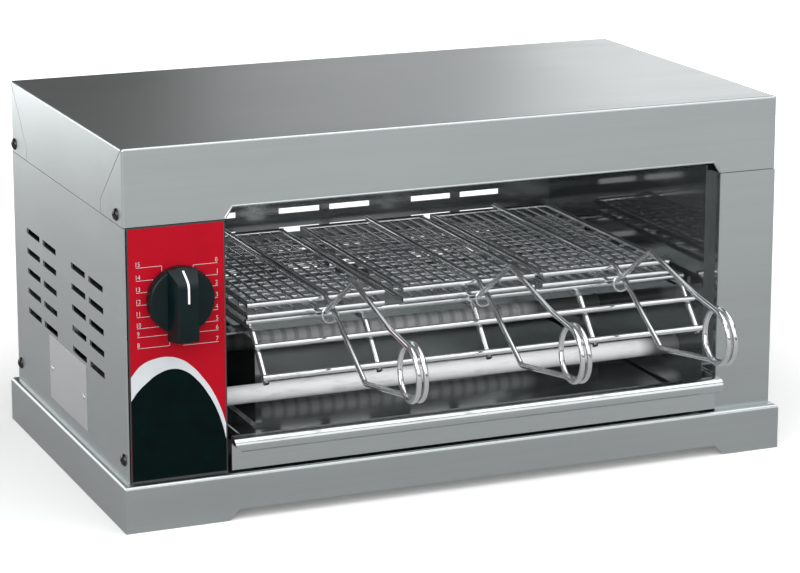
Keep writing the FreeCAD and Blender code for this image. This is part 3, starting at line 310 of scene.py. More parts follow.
def sheet_finish(name, colour, roughness, stretch, anisotropy=0.6, spread=0.07, patches=0.5,
                 metallic=1.0):
    """Brushed or bright stainless sheet, its scratches along one axis."""
    finish = Finish(name)
    grain = finish.group("Sheet grain", Stretch=stretch, Roughness=roughness, Spread=spread,
                         Patches=patches)
    finish.colour(grain.outputs["Tint"], shade(colour, 0.86), shade(colour, 1.12))
    finish.link(grain.outputs["Roughness"], "Roughness")
    finish.bump(grain.outputs["Height"], 0.05, 0.2 * MM)
    finish.set(Metallic=metallic, Anisotropic=anisotropy)
    level = finish.tree.nodes.new("ShaderNodeVectorMath")
    level.operation = "CROSS_PRODUCT"
    level.inputs[1].default_value = NEARLY_UP
    normal = finish.tree.nodes.new("ShaderNodeTexCoord").outputs["Normal"]
    finish.tree.links.new(normal, level.inputs[0])
    finish.link(level.outputs[0], "Tangent")
    return finish


def wire_finish(name, colour, roughness, stain, metallic=1.0):
    """Plated or bare wire."""
    finish = Finish(name)
    polish = finish.group("Wire polish", Roughness=roughness, Stain=stain)
    finish.colour(polish.outputs["Mask"], colour, shade(colour, 0.45))
    finish.link(polish.outputs["Roughness"], "Roughness")
    finish.bump(polish.outputs["Height"], 0.08, 0.1 * MM)
    finish.set(Metallic=metallic)
    return finish


def moulded_finish(name, colour, roughness, handling=0.1, scale=1500.0, relief=0.08, lighter=1.5,
                   specular=0.5):
    """Plastic, paint, print or ceramic."""
    finish = Finish(name)
    skin = finish.group("Moulded skin", Roughness=roughness, Handling=handling, Scale=scale)
    finish.colour(skin.outputs["Mask"], colour, shade(colour, lighter))
    finish.link(skin.outputs["Roughness"], "Roughness")
    finish.bump(skin.outputs["Height"], relief, 0.15 * MM)
    finish.set(Specular_IOR_Level=specular)
    return finish


# Dark colour for the shaded chamber seen through the quartz: painted shade at the clear end, in the thin
# streaks of the frosting (real streaks) and between the coil's turns.
SHADE_SEEN_THROUGH_QUARTZ = (0.16, 0.17, 0.17, 1)
COIL_PITCH = 9 * MM


def quartz_finish(name, colour, transmission, roughness, clear_from, coil_glint_bands=0.0):
    """Frosted quartz whose end past a place along X is painted dark, painted shade for the chamber seen
    through clear quartz, with painted bands at the coil's pitch when asked: pale painted glints of its
    turns and darker painted shade between them.
    """
    finish = Finish(name)
    tree = finish.tree
    skin = finish.group("Moulded skin", Roughness=roughness, Handling=0.08, Scale=700.0)
    along = coordinate(tree, finish.position, "X")
    clear = ramp(tree, along, clear_from, clear_from + 12 * MM)
    streaks = noise(tree, scaled(tree, finish.position, (60.0, 240.0, 240.0)), 4.0)
    marks = ramp(tree, streaks, 0.55, 0.8, 0.0, 0.35)
    # Painted image of the coil behind the glass: pale painted glints of its turns with darker painted shade
    # between them.
    turns = maths(tree, "SINE", maths(tree, "MULTIPLY", along, 2 * math.pi / COIL_PITCH))
    painted_coil_bands = maths(tree, "MULTIPLY", ramp(tree, turns, -0.2, 0.8), coil_glint_bands)
    dark = maths(tree, "MAXIMUM", clear, maths(tree, "MAXIMUM", marks, painted_coil_bands))
    finish.colour(dark, colour, SHADE_SEEN_THROUGH_QUARTZ)
    finish.link(skin.outputs["Roughness"], "Roughness")
    finish.bump(skin.outputs["Height"], 0.05, 0.1 * MM)
    finish.set(Transmission_Weight=transmission, IOR=1.46)
    return finish


def two_sided_finish(name, colour, turn_y, front, rear, anisotropy=0.6):
    """Sheet that turns inside at one depth. Front and rear are its roughness, a darkening of its colour and
    its bareness; the darkening is painted shade on the face inside the chamber.
    """
    finish = sheet_finish(name, colour, front[0], ALONG_X, anisotropy)
    tree = finish.tree
    depth = coordinate(tree, finish.position, "Y")
    near, far = turn_y - 0.1 * MM, turn_y + 0.1 * MM
    rough, inside_shade, bare = [ramp(tree, depth, near, far, *ends) for ends in zip(front, rear)]
    tree.links.new(rough, finish.pattern.inputs["Roughness"])
    plain = finish.shader.inputs["Base Color"].links[0].from_socket
    # Painted shade: the colour is darkened on the face that looks into the chamber.
    finish.link(scaled(tree, plain, inside_shade), "Base Color")
    finish.link(bare, "Metallic")
    return finish


MATERIALS = {}


def build_materials():
    """All finishes, once."""
    GROUPS["Sheet grain"] = build_sheet_grain()
    GROUPS["Wire polish"] = build_wire_polish()
    GROUPS["Moulded skin"] = build_moulded_skin()
    colours = bpy.context.scene.toaster_colours
    steel = tuple(colours.steel)
    chrome = tuple(colours.chrome)
    pale = tuple(colours.label_pale)
    quartz = tuple(colours.quartz)
    column_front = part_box("right_column")[0].y
    back_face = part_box("back_panel")[1].y
    # Each is a roughness, a darkening of the colour and a bareness; bright darkens the colour, painted
    # shade for the inside of the chamber.
    dull, bright = (0.33, 1.0, 1.0), (0.09, 0.6, 0.9)
    printed = {"handling": 0.08, "scale": 1800.0, "relief": 0.03}
    MATERIALS.update({
        "brushed_along_x": sheet_finish("Brushed steel along X", steel, 0.33, ALONG_X),
        "brushed_along_y": sheet_finish("Brushed steel along Y", steel, 0.33, ALONG_Y),
        # The chamber's polished sheets are painted darker than the outer steel: painted shade for the dark
        # inside of the chamber.
        "shaded_bright_along_x": sheet_finish("Bright steel along X with painted shade", shade(steel, 0.6), 0.09, ALONG_X,
                                       anisotropy=0.3, spread=0.04, metallic=0.85),
        "shaded_bright_along_y": sheet_finish("Bright steel along Y with painted shade", shade(steel, 0.5), 0.08, ALONG_Y,
                                       anisotropy=0.3, spread=0.04, metallic=0.88),
        # The control panel's steel is painted near black: painted shade for the shadowed gap round the
        # label.
        "panel_steel_painted_shade": sheet_finish("Panel steel with painted shade", shade(steel, 0.2), 0.4, ALONG_X),
        "plate": sheet_finish("Bare plate", (0.66, 0.67, 0.68, 1), 0.4, ALONG_Y,
                              anisotropy=0.3, spread=0.05, patches=0.4),
        # The tray, back and front sheets are painted darker on their faces inside the chamber: painted
        # shade.
        "tray_steel": two_sided_finish("Tray steel", shade(steel, 1.1), column_front - 1.9 * MM,
                                       (0.17, 1.0, 1.0), bright, anisotropy=0.1),
        "back_steel": two_sided_finish("Back sheet", steel, back_face - 0.3 * MM,
                                       (0.16, 0.75, 0.75), dull),
        "front_steel": two_sided_finish("Front sheet", steel, column_front + 1.3 * MM,
                                        dull, (0.1, 0.55, 0.9)),
        "chrome": wire_finish("Chromed wire", chrome, 0.1, 0.25, metallic=0.9),
        "weld": wire_finish("Weld bead", shade(chrome, 0.7), 0.25, 0.7),
        "filament": wire_finish("Resistance wire", (0.82, 0.81, 0.79, 1), 0.24, 0.2),
        "screw": wire_finish("Plated screw", (0.05, 0.05, 0.05, 1), 0.25, 0.5),
        "white_quartz": quartz_finish("Frosted quartz", quartz, 0.05, 0.3, 150 * MM),
        "quartz_with_painted_coil": quartz_finish("Clear quartz with painted coil", quartz, 0.12, 0.16, 120 * MM, coil_glint_bands=0.4),
        "label_red": moulded_finish("Label red", tuple(colours.label_red), 0.34, **printed,
                                    lighter=1.06, specular=0.1),
        "label_pale": moulded_finish("Label pale", pale, 0.36, **printed,
                                     lighter=1.06, specular=0.2),
        "label_mark": moulded_finish("Label mark", shade(pale, 0.8), 0.36, **printed,
                                     lighter=1.06, specular=0.2),
        "label_black": moulded_finish("Label black", tuple(colours.label_black), 0.34, **printed,
                                      lighter=1.6, specular=0.06),
        "knob": moulded_finish("Knob plastic", tuple(colours.knob), 0.3, handling=0.12,
                               scale=2200.0, relief=0.04, specular=0.2),
        "pointer": moulded_finish("Pointer white", (0.85, 0.86, 0.86, 1), 0.4, scale=1800.0,
                                  relief=0.03, lighter=1.05),
        "timer_case": moulded_finish("Timer case", (0.62, 0.60, 0.50, 1), 0.5, scale=700.0,
                                     relief=0.15, lighter=1.1),
        "nylon_black": moulded_finish("Black nylon", (0.018, 0.018, 0.019, 1), 0.45,
                                      handling=0.15, scale=1300.0, relief=0.15, lighter=1.8),
        "nylon_white": moulded_finish("White nylon", (0.74, 0.73, 0.68, 1), 0.5, scale=1300.0,
                                      relief=0.12, lighter=1.05),
        "ceramic": moulded_finish("Steatite", (0.72, 0.70, 0.64, 1), 0.6, handling=0.2,
                                  scale=900.0, relief=0.3, lighter=1.15),
    })


def dress(name, *nodes):
    """Give CAD nodes a finish."""
    for node in nodes:
        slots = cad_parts[node].data.materials
        slots.clear()
        slots.append(MATERIALS[name].material)


# Modelling helpers


def deselect():
    """Leave edit mode and select nothing."""
    if bpy.context.mode != "OBJECT":
        bpy.ops.object.mode_set(mode="OBJECT")
    bpy.ops.object.select_all(action="DESELECT")


def pick(piece):
    """Make one object the selected and active one."""
    deselect()
    piece.select_set(True)
    bpy.context.view_layer.objects.active = piece


def settle(piece):
    """Put a piece's place into its mesh."""
    pick(piece)
    bpy.ops.object.transform_apply(location=True, rotation=True, scale=True)
    return piece


def join(pieces):
    """Several meshes as one piece."""
    for piece in pieces:
        settle(piece)
    deselect()
    for piece in pieces:
        piece.select_set(True)
    bpy.context.view_layer.objects.active = pieces[0]
    bpy.ops.object.join()
    return bpy.context.view_layer.objects.active


def modify(piece, kind, **values):
    """Add a modifier and apply it."""
    pick(piece)
    modifier = piece.modifiers.new(kind.lower(), kind)
    for label, value in values.items():
        setattr(modifier, label, value)
    bpy.ops.object.modifier_apply(modifier=modifier.name)
    return piece


def copy_to(piece, place):
    """A copy with its own mesh, at a place."""
    twin = piece.copy()
    twin.data = piece.data.copy()
    twin.location = place
    bpy.context.collection.objects.link(twin)
    return twin


def finish_piece(piece, name, material, body, replaced=(), angle=35):
    """Name, smooth, dress and seat a finished piece."""
    settle(piece)
    piece.name = piece.data.name = name
    bpy.ops.object.shade_smooth_by_angle(angle=math.radians(angle))
    piece.data.materials.clear()
    piece.data.materials.append(MATERIALS[material].material)
    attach(piece, body)
    if replaced:
        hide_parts(*replaced)


def lay_curve(points, dimensions, closed=False):
    """A Bezier curve through points. Each is a place with AUTO where the curve runs on smoothly
    or VECTOR for a corner."""
    deselect()
    bpy.ops.curve.primitive_bezier_curve_add()
    shape = bpy.context.object
    shape.data.dimensions = dimensions
    spline = shape.data.splines[0]
    spline.use_cyclic_u = closed
    spline.bezier_points.add(len(points) - 2)
    for target, (place, kind) in zip(spline.bezier_points, points):
        target.co = place
        target.handle_left_type = target.handle_right_type = kind
    return shape


def to_mesh(piece):
    """A curve or a text made a mesh."""
    pick(piece)
    bpy.ops.object.convert(target="MESH")
    return bpy.context.object


def flat_shape(points, thickness):
    """A filled outline as a thin solid in the XY plane, its middle at Z = 0.
    A point is (x, y) for a corner or (x, y, True) where the outline runs on smoothly."""
    shape = lay_curve([((point[0], point[1], 0), "AUTO" if len(point) == 3 else "VECTOR")
                       for point in points], "2D", closed=True)
    shape.data.fill_mode = "BOTH"
    shape.data.resolution_u = 8
    shape.data.extrude = thickness / 2
    shape = to_mesh(shape)
    bpy.ops.object.mode_set(mode="EDIT")
    bpy.ops.mesh.select_all(action="SELECT")
    bpy.ops.mesh.remove_doubles(threshold=0.002 * MM)
    bpy.ops.mesh.normals_make_consistent(inside=False)
    bpy.ops.object.mode_set(mode="OBJECT")
    return shape


def stand(shape, turn, place):
    """Turn a flat shape up and set it in its place."""
    shape.rotation_euler = turn
    shape.location = place
    return settle(shape)


def bar(low, high):
    """A block between two corners."""
    deselect()
    low, high = Vector(low), Vector(high)
    bpy.ops.mesh.primitive_cube_add(size=1, location=(low + high) / 2)
    block = bpy.context.object
    block.scale = high - low
    return settle(block)


def round_bar(centre, radius, length, turn, vertices=64):
    """A round block by its middle."""
    deselect()
    bpy.ops.mesh.primitive_cylinder_add(vertices=vertices, radius=radius, depth=length,
                                        location=centre, rotation=turn)
    return settle(bpy.context.object)


def boolean(piece, tool, operation):
    """Take a tool out of a piece or add it, then drop the tool."""
    modify(piece, "BOOLEAN", object=tool, operation=operation, solver="EXACT")
    bpy.data.objects.remove(tool)


# Pieces


class TOASTER_OT_sheet_metal(bpy.types.Operator):
    """Finish the body, the base, the chamber and the tray"""
    bl_idname = "toaster.sheet_metal"
    bl_label = "Sheet metal"

    def execute(self, context):
        dress("brushed_along_x", "top_cover", "base_tray")
        dress("front_steel", "right_column")
        # The control panel gets steel painted near black, painted shade.
        dress("panel_steel_painted_shade", "control_panel")
        dress("brushed_along_y", "left_side_panel", "right_side_panel")
        dress("back_steel", "back_panel")
        # The chamber's sheets, shield, runners, reflector and rack supports get steel with painted shade.
        dress("shaded_bright_along_y", "chamber_left_wall", "chamber_right_wall", "left_heat_shield",
              "tray_runners")
        dress("shaded_bright_along_x", "upper_reflector", "rack_supports")
        dress("tray_steel", "crumb_tray")
        dress("plate", "rating_plate")
        return {"FINISHED"}


class TOASTER_OT_apron_hem(bpy.types.Operator):
    """Round the edge of the opening with a hem"""
    bl_idname = "toaster.apron_hem"
    bl_label = "Apron hem"

    # The apron's rise over the opening, the chamfers' run, and how far the hem stops short
    RISE = 7.6 * MM
    MARGIN = 5 * MM
    END_GAP = 0.4 * MM
    HALF_SHEET = 0.6 * MM

    def execute(self, context):
        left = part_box("control_panel")[1].x
        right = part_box("right_column")[0].x
        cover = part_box("top_cover")[0]
        y = cover.y + self.HALF_SHEET
        ends = cover.z + self.HALF_SHEET
        level = cover.z + self.RISE
        places = ((left + self.END_GAP, y, ends), (left + self.MARGIN, y, level),
                  (right - self.MARGIN, y, level), (right - self.END_GAP, y, ends))
        hem = lay_curve([(place, "VECTOR") for place in places], "3D")
        hem.data.bevel_depth = context.scene.toaster_sizes.hem_radius
        hem.data.bevel_resolution = 4
        hem.data.use_fill_caps = True
        finish_piece(to_mesh(hem), "apron_hem", "brushed_along_x", "base")
        return {"FINISHED"}


class TOASTER_OT_fascia_print(bpy.types.Operator):
    """Print the arch and the dome on the label"""
    bl_idname = "toaster.fascia_print"
    bl_label = "Label print"

    # An outline's level at the label's left edge, its points between (X and Z), and its level at
    # the right edge, all in millimetres
    ARCH = (97.5, ((-215.5, 104.5), (-207.2, 107.8), (-198.0, 108.4), (-189.8, 106.0),
                   (-182.6, 100.7), (-175.5, 92.5), (-169.4, 83.2), (-164.3, 71.9)), 61.5)
    DOME = (82.5, ((-217.9, 87.9), (-211.6, 93.5), (-204.3, 98.3), (-194.6, 100.4),
                   (-186.8, 98.0), (-179.7, 91.9), (-173.5, 83.7), (-167.4, 72.3),
                   (-163.4, 61.1)), 51.2)

    def execute(self, context):
        dress("label_red", "fascia_label")
        layer = context.scene.toaster_sizes.print_thickness
        low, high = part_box("fascia_label")
        for name, curve, depth, material in (("fascia_arch", self.ARCH, layer, "label_pale"),
                                             ("fascia_dome", self.DOME, 2 * layer, "label_black")):
            first, inner, last = curve
            points = [(low.x, first * MM)]
            points += [(x * MM, z * MM, True) for x, z in inner]
            points += [(high.x, last * MM), (high.x, low.z), (low.x, low.z)]
            shape = stand(flat_shape(points, depth), TOWARD_FRONT, (0, low.y - depth / 2, 0))
            finish_piece(shape, name, material, "base")
        return {"FINISHED"}


class TOASTER_OT_dial_marks(bpy.types.Operator):
    """Set the numbers and their leader lines round the knob"""
    bl_idname = "toaster.dial_marks"
    bl_label = "Dial marks"

    # Each number with the level of its middle, in millimetres, and the outer ends of both columns
    RIGHT_ROWS = (("0", 166.8), ("1", 159.4), ("2", 152.4), ("3", 144.8), ("4", 137.2),
                  ("5", 130.0), ("6", 124.2), ("7", 116.8))
    LEFT_ROWS = (("15", 168.2), ("14", 160.0), ("13", 152.6), ("12", 144.8), ("11", 137.2),
                 ("10", 130.2), ("9", 124.6), ("8", 117.6))
    RIGHT_END = -165.2 * MM
    LEFT_END = -217.4 * MM
    # Leaders that end beside the knob: how far from its middle, and the ends of the upright there
    # above the number's foot, in millimetres
    BESIDE_KNOB = {"15": (-10.2, (-4.7, -0.5)), "0": (10.0, (-4.7, -0.5)),
                   "8": (-6.0, (-0.5, 6.0)), "7": (2.8, None)}
    LEADER_DROP = 0.7 * MM
    UNDER_KNOB = 2 * MM
    LEAST_REACH = 3.6 * MM
    DIGIT_NARROWING = 0.82

    def digit(self, text, x, y, z, depth, height):
        """One number, its foot at z, set right of x or left of it."""
        deselect()
        bpy.ops.object.text_add()
        mark = bpy.context.object
        mark.data.body = text
        mark.data.extrude = depth / 2
        mark.data.resolution_u = 3
        mark = to_mesh(mark)
        corners = [vertex.co for vertex in mark.data.vertices]
        tall = max(co.y for co in corners) - min(co.y for co in corners)
        left = min(co.x for co in corners)
        right = max(co.x for co in corners)
        factor = height / tall
        narrow = self.DIGIT_NARROWING * factor
        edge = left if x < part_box("knob")[0].x else right
        mark.scale = (narrow, factor, 1)
        return stand(mark, TOWARD_FRONT, (x - edge * narrow, y, z))

    def execute(self, context):
        sizes = context.scene.toaster_sizes
        layer = sizes.print_thickness
        half = sizes.leader_width / 2
        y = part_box("fascia_label")[0].y - layer / 2
        low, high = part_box("knob")
        knob_x = (low.x + high.x) / 2
        radius = (high.x - low.x) / 2
        marks = []

        def stroke(left, right, bottom, top):
            """One printed line between its edges."""
            marks.append(bar((left, y - layer / 2, bottom), (right, y + layer / 2, top)))

        for rows, outer, sign in ((self.RIGHT_ROWS, self.RIGHT_END, 1),
                                  (self.LEFT_ROWS, self.LEFT_END, -1)):
            for text, middle in rows:
                foot = middle * MM - sizes.digit_height / 2
                marks.append(self.digit(text, outer, y, foot, layer, sizes.digit_height))
                across = abs(foot - (high.z - radius))
                reach = math.sqrt(max(0, radius ** 2 - across ** 2)) - self.UNDER_KNOB
                inner = knob_x + sign * max(reach, self.LEAST_REACH)
                if text in self.BESIDE_KNOB:
                    past, upright = self.BESIDE_KNOB[text]
                    inner = knob_x + past * MM
                    if upright:
                        stroke(inner - half, inner + half,
                               foot + upright[0] * MM, foot + upright[1] * MM)
                level = foot - self.LEADER_DROP
                stroke(min(outer, inner), max(outer, inner), level - half, level + half)
        finish_piece(join(marks), "dial_marks", "label_mark", "base")
        return {"FINISHED"}


class TOASTER_OT_knob(bpy.types.Operator):
    """Mould the timer knob with its grip and pointer line"""
    bl_idname = "toaster.knob"
    bl_label = "Timer knob"

    DISC_THICKNESS = 8.5 * MM
    # The grip's profile, from the knob's middle: where its slope ends, where it turns back, its heel
    SLOPE_TOP = 20 * MM
    NOSE_LEVEL = 13 * MM
    HEEL = 24 * MM
    HEEL_SLOPE = 0.6 * MM
    HEEL_ROUND = 2.5 * MM
    # The grip's width at its front, and how much each side widens on the way back
    FRONT_WIDTH = 12.6 * MM
    DRAFT = 3.2 * MM
    EDGE_ROUND = 0.9 * MM
    # The hollow behind the disc and the hole for the shaft: radius and depth
    POCKET = (9.1 * MM, 3 * MM)
    BORE = (3.05 * MM, 6 * MM)
    # The pointer line: its width, its foot over the knob's middle, how far it stops short of the
    # slope's end, and its height over the grip and depth in it
    LINE_WIDTH = 1.35 * MM
    LINE_START = 1.0 * MM
    LINE_SHORT = 1.5 * MM
    PROUD = 0.15 * MM
    SUNK = 0.3 * MM
    NOSE_STEPS = 8
    HEEL_STEPS = 4

    def grip(self, front, face, x, z, nose):
        """The grip as a block whose sides widen towards the disc."""
        heel = []
        for step in range(self.HEEL_STEPS + 1):
            angle = math.radians(90) * step / self.HEEL_STEPS
            heel.append((front + self.HEEL_ROUND * (1 - math.sin(angle)),
                         z - self.HEEL + self.HEEL_ROUND * (1 - math.cos(angle))))
        inside = face + 2 * MM
        top = z + self.SLOPE_TOP
        profile = [(inside, z - self.HEEL - self.HEEL_SLOPE)] + heel + nose
        profile += [(face, top), (inside, top)]
        grip = flat_shape(profile, self.FRONT_WIDTH + 2 * self.DRAFT)
        stand(grip, TOWARD_SIDE, (x, 0, 0))
        draft = math.atan2(self.DRAFT, face - front)
        bpy.ops.object.mode_set(mode="EDIT")
        for side in (-1, 1):
            bpy.ops.mesh.select_all(action="SELECT")
            bpy.ops.mesh.bisect(plane_co=(x + side * self.FRONT_WIDTH / 2, front, z),
                                plane_no=(side * math.cos(draft), -math.sin(draft), 0),
                                clear_outer=True, use_fill=True)
        bpy.ops.object.mode_set(mode="OBJECT")
        return modify(grip, "BEVEL", width=self.EDGE_ROUND, segments=3, limit_method="ANGLE",
                      angle_limit=math.radians(50))

    def pointer_line(self, nose, turn, end, z):
        """The line that follows the grip's front, its nose and its slope."""
        front = nose[0][0]
        outer = [(front - self.PROUD, z + self.LINE_START)]
        inner = [(front + self.SUNK, z + self.LINE_START)]
        angles = [turn * step / self.NOSE_STEPS for step in range(self.NOSE_STEPS + 1)]
        for (y, level), angle in zip(nose + [end], angles + [turn]):
            outward = Vector((-math.cos(angle), math.sin(angle)))
            outer.append((y + outward.x * self.PROUD, level + outward.y * self.PROUD))
            inner.append((y - outward.x * self.SUNK, level - outward.y * self.SUNK))
        return flat_shape(outer + inner[::-1], self.LINE_WIDTH)

    def execute(self, context):
        sizes = context.scene.toaster_sizes
        low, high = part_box("knob")
        x = (low.x + high.x) / 2
        radius = (high.x - low.x) / 2
        z = high.z - radius
        front, back = low.y, high.y
        face = back - self.DISC_THICKNESS
        disc = round_bar((x, (back + face) / 2, z), radius, back - face, TOWARD_FRONT, 96)
        modify(disc, "BEVEL", width=sizes.rim_round, segments=5, limit_method="ANGLE",
               angle_limit=math.radians(40))

        slope = Vector((face - front, self.SLOPE_TOP - self.NOSE_LEVEL)).normalized()
        turn = math.acos(slope.y)
        start = z + self.NOSE_LEVEL - sizes.nose_round * math.tan(turn / 2)
        nose = []
        for step in range(self.NOSE_STEPS + 1):
            angle = turn * step / self.NOSE_STEPS
            nose.append((front + sizes.nose_round * (1 - math.cos(angle)),
                         start + sizes.nose_round * math.sin(angle)))
        boolean(disc, self.grip(front, face, x, z, nose), "UNION")
        for hole_radius, depth in (self.POCKET, self.BORE):
            hole = round_bar((x, back, z), hole_radius, 2 * depth, TOWARD_FRONT)
            boolean(disc, hole, "DIFFERENCE")
        finish_piece(disc, "knob_moulding", "knob", "knob", ("knob",), angle=30)

        end = Vector((face, z + self.SLOPE_TOP)) - slope * self.LINE_SHORT
        line = stand(self.pointer_line(nose, turn, tuple(end), z), TOWARD_SIDE, (x, 0, 0))
        finish_piece(line, "knob_line", "pointer", "knob", ("knob_pointer",), angle=30)
        return {"FINISHED"}


class TOASTER_OT_screws(bpy.types.Operator):
    """Drive the pan-head screws and set the plate's rivets"""
    bl_idname = "toaster.screws"
    bl_label = "Screws and rivets"

    SCREW_RADIUS = 4 * MM
    SCREW_HEIGHT = 2.4 * MM
    DOME_STEPS = 8
    RECESS_HALF_WIDTH = 0.45 * MM
    RECESS_TURNS = (20, 110)
    # How far the upper front screws sit behind the lower ones
    UPPER_SETBACK = 5.5 * MM

    def head(self, radius, height, recess):
        """A domed head that looks along +X, turned from its profile, with a cross recess when asked."""
        profile = []
        for step in range(self.DOME_STEPS, -1, -1):
            angle = math.radians(90) * step / self.DOME_STEPS
            profile.append(((radius * math.cos(angle), 0, height * math.sin(angle)), "VECTOR"))
        profile.append(((0, 0, 0), "VECTOR"))
        dome = to_mesh(lay_curve(profile, "3D"))
        modify(dome, "SCREW", axis="Z", angle=2 * math.pi, steps=32, render_steps=32,
               use_merge_vertices=True, merge_threshold=0.001 * MM, use_normal_calculate=True,
               use_normal_flip=True)
        for turn in self.RECESS_TURNS if recess else ():
            reach = radius * 0.55
            arm = bar((-reach, -self.RECESS_HALF_WIDTH, height * 0.45),
                      (reach, self.RECESS_HALF_WIDTH, height * 2))
            arm.rotation_euler = (0, 0, math.radians(turn))
            settle(arm)
            boolean(dome, arm, "DIFFERENCE")
        dome.rotation_euler = (0, math.radians(90), 0)
        return settle(dome)

    def set_heads(self, model, places, name, material, slot, replaced):
        """Copies of a head at places, each with the side that it looks to, as one piece."""
        heads = []
        for place, side in places:
            twin = copy_to(model, place)
            twin.rotation_euler = (0, 0, math.pi if side < 0 else 0)
            heads.append(twin)
        bpy.data.objects.remove(model)
        finish_piece(join(heads), name, material, "base", (replaced,))

    def execute(self, context):
        low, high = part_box("side_screws")
        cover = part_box("top_cover")
        radius = self.SCREW_RADIUS
        front, rear = low.y + radius, high.y - radius
        bottom, top = low.z + radius, high.z - radius
        places = []
        for side, face in ((-1, cover[0].x), (1, cover[1].x)):
            places += [((face, front, bottom), side), ((face, rear, bottom), side),
                       ((face, front + self.UPPER_SETBACK, top), side), ((face, rear, top), side)]
        self.set_heads(self.head(radius, self.SCREW_HEIGHT, True), places, "pan_head_screws",
                       "screw", "screws", "side_screws")
        low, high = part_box("plate_rivets")
        middle = (low.z + high.z) / 2
        radius = (high.z - low.z) / 2
        places = [((high.x, y, middle), -1) for y in (low.y + radius, high.y - radius)]
        self.set_heads(self.head(radius, high.x - low.x, False), places, "plate_rivet_heads",
                       "plate", "plate", "plate_rivets")
        return {"FINISHED"}


class TOASTER_OT_wire_work(bpy.types.Operator):
    """Plate the rack and the tongs and set the weld beads where wires cross"""
    bl_idname = "toaster.wire_work"
    bl_label = "Rack and tongs"

    GUARD_SLOPE = math.radians(48.5)
    MESH_COLUMNS = 10
    MESH_ROWS = 8
    MESH_BEAD = 1.15 * MM
    # From a grid's box to the middle of its frame wire, and to the middle of its front bar
    FRAME_INSET = 1.8 * MM
    FRONT_INSET = 3.8 * MM
    # Level of the crossings above the lower grid's bottom, and below the upper grid's top
    LOWER_CROSSING = 3.45 * MM
    UPPER_CROSSING = 6.55 * MM

    def beads(self, places, radius, name, body):
        """Flattened beads at given places, as one piece."""
        deselect()
        bpy.ops.mesh.primitive_ico_sphere_add(subdivisions=2, radius=radius)
        model = bpy.context.object
        model.scale = (1.15, 1.15, 0.9)
        settle(model)
        piece = join([copy_to(model, place) for place in places])
        bpy.data.objects.remove(model)
        finish_piece(piece, name, "weld", body, angle=60)

    def rack_crossings(self):
        """Where the rack's long bars cross its depth bars."""
        places = []
        for number in range(1, 6):
            low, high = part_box("rack_depth_bar_%d" % number)
            x = (low.x + high.x) / 2
            for name in ("rack_front_bar", "rack_rear_bar"):
                low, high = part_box(name)
                places.append((x, (low.y + high.y) / 2, low.z))
            for name in ("rack_guard_upper_bar", "rack_guard_lower_bar"):
                low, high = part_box(name)
                half = (high.z - low.z) / 2
                places.append((x, (low.y + high.y) / 2 + half * math.sin(self.GUARD_SLOPE),
                               (low.z + high.z) / 2 - half * math.cos(self.GUARD_SLOPE)))
        return places

    def grid_crossings(self, grid, level):
        """Where the wires of a tong's grid cross, at one level."""
        low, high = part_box(grid)
        left, right = low.x + self.FRAME_INSET, high.x - self.FRAME_INSET
        front, rear = low.y + self.FRONT_INSET, high.y - self.FRAME_INSET
        return [(left + (right - left) * column / (self.MESH_COLUMNS + 1),
                 front + (rear - front) * row / (self.MESH_ROWS + 1), level)
                for column in range(1, self.MESH_COLUMNS + 1)
                for row in range(1, self.MESH_ROWS + 1)]

    def execute(self, context):
        dress("chrome", *[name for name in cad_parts
                          if name.startswith(("rack_depth", "rack_front", "rack_rear", "rack_guard",
                                              "tong_"))])
        self.beads(self.rack_crossings(), context.scene.toaster_sizes.bead_radius,
                   "rack_weld_beads", "base")
        for number in (1, 2, 3):
            tong = "tong_%d" % number
            grid = tong + "_lower_grid"
            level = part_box(grid)[0].z + self.LOWER_CROSSING
            self.beads(self.grid_crossings(grid, level), self.MESH_BEAD, tong + "_lower_welds", tong)
            grid = tong + "_upper_grid"
            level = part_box(grid)[1].z - self.UPPER_CROSSING
            self.beads(self.grid_crossings(grid, level), self.MESH_BEAD, tong + "_upper_welds",
                       tong + "_jaw")
        return {"FINISHED"}


class TOASTER_OT_heaters(bpy.types.Operator):
    """Finish the quartz tubes, their filaments and their ceramic caps"""
    bl_idname = "toaster.heaters"
    bl_label = "Heaters"

    def execute(self, context):
        for heater in ("lower_front", "lower_rear", "upper_front", "upper_rear"):
            # The lower rear tube gets painted bands of the coil behind it.
            dress("quartz_with_painted_coil" if heater == "lower_rear" else "white_quartz", heater + "_tube")
            dress("filament", heater + "_filament")
            dress("ceramic", heater + "_caps")
        return {"FINISHED"}


class TOASTER_OT_electrics(bpy.types.Operator):
    """Finish the timer, the cable entry and the terminal block"""
    bl_idname = "toaster.electrics"
    bl_label = "Timer and cable entry"

    def execute(self, context):
        dress("timer_case", "timer_body")
        dress("screw", "timer_shaft", "timer_nut")
        dress("nylon_black", "cable_gland", "gland_nut")
        dress("nylon_white", "terminal_block")
        return {"FINISHED"}


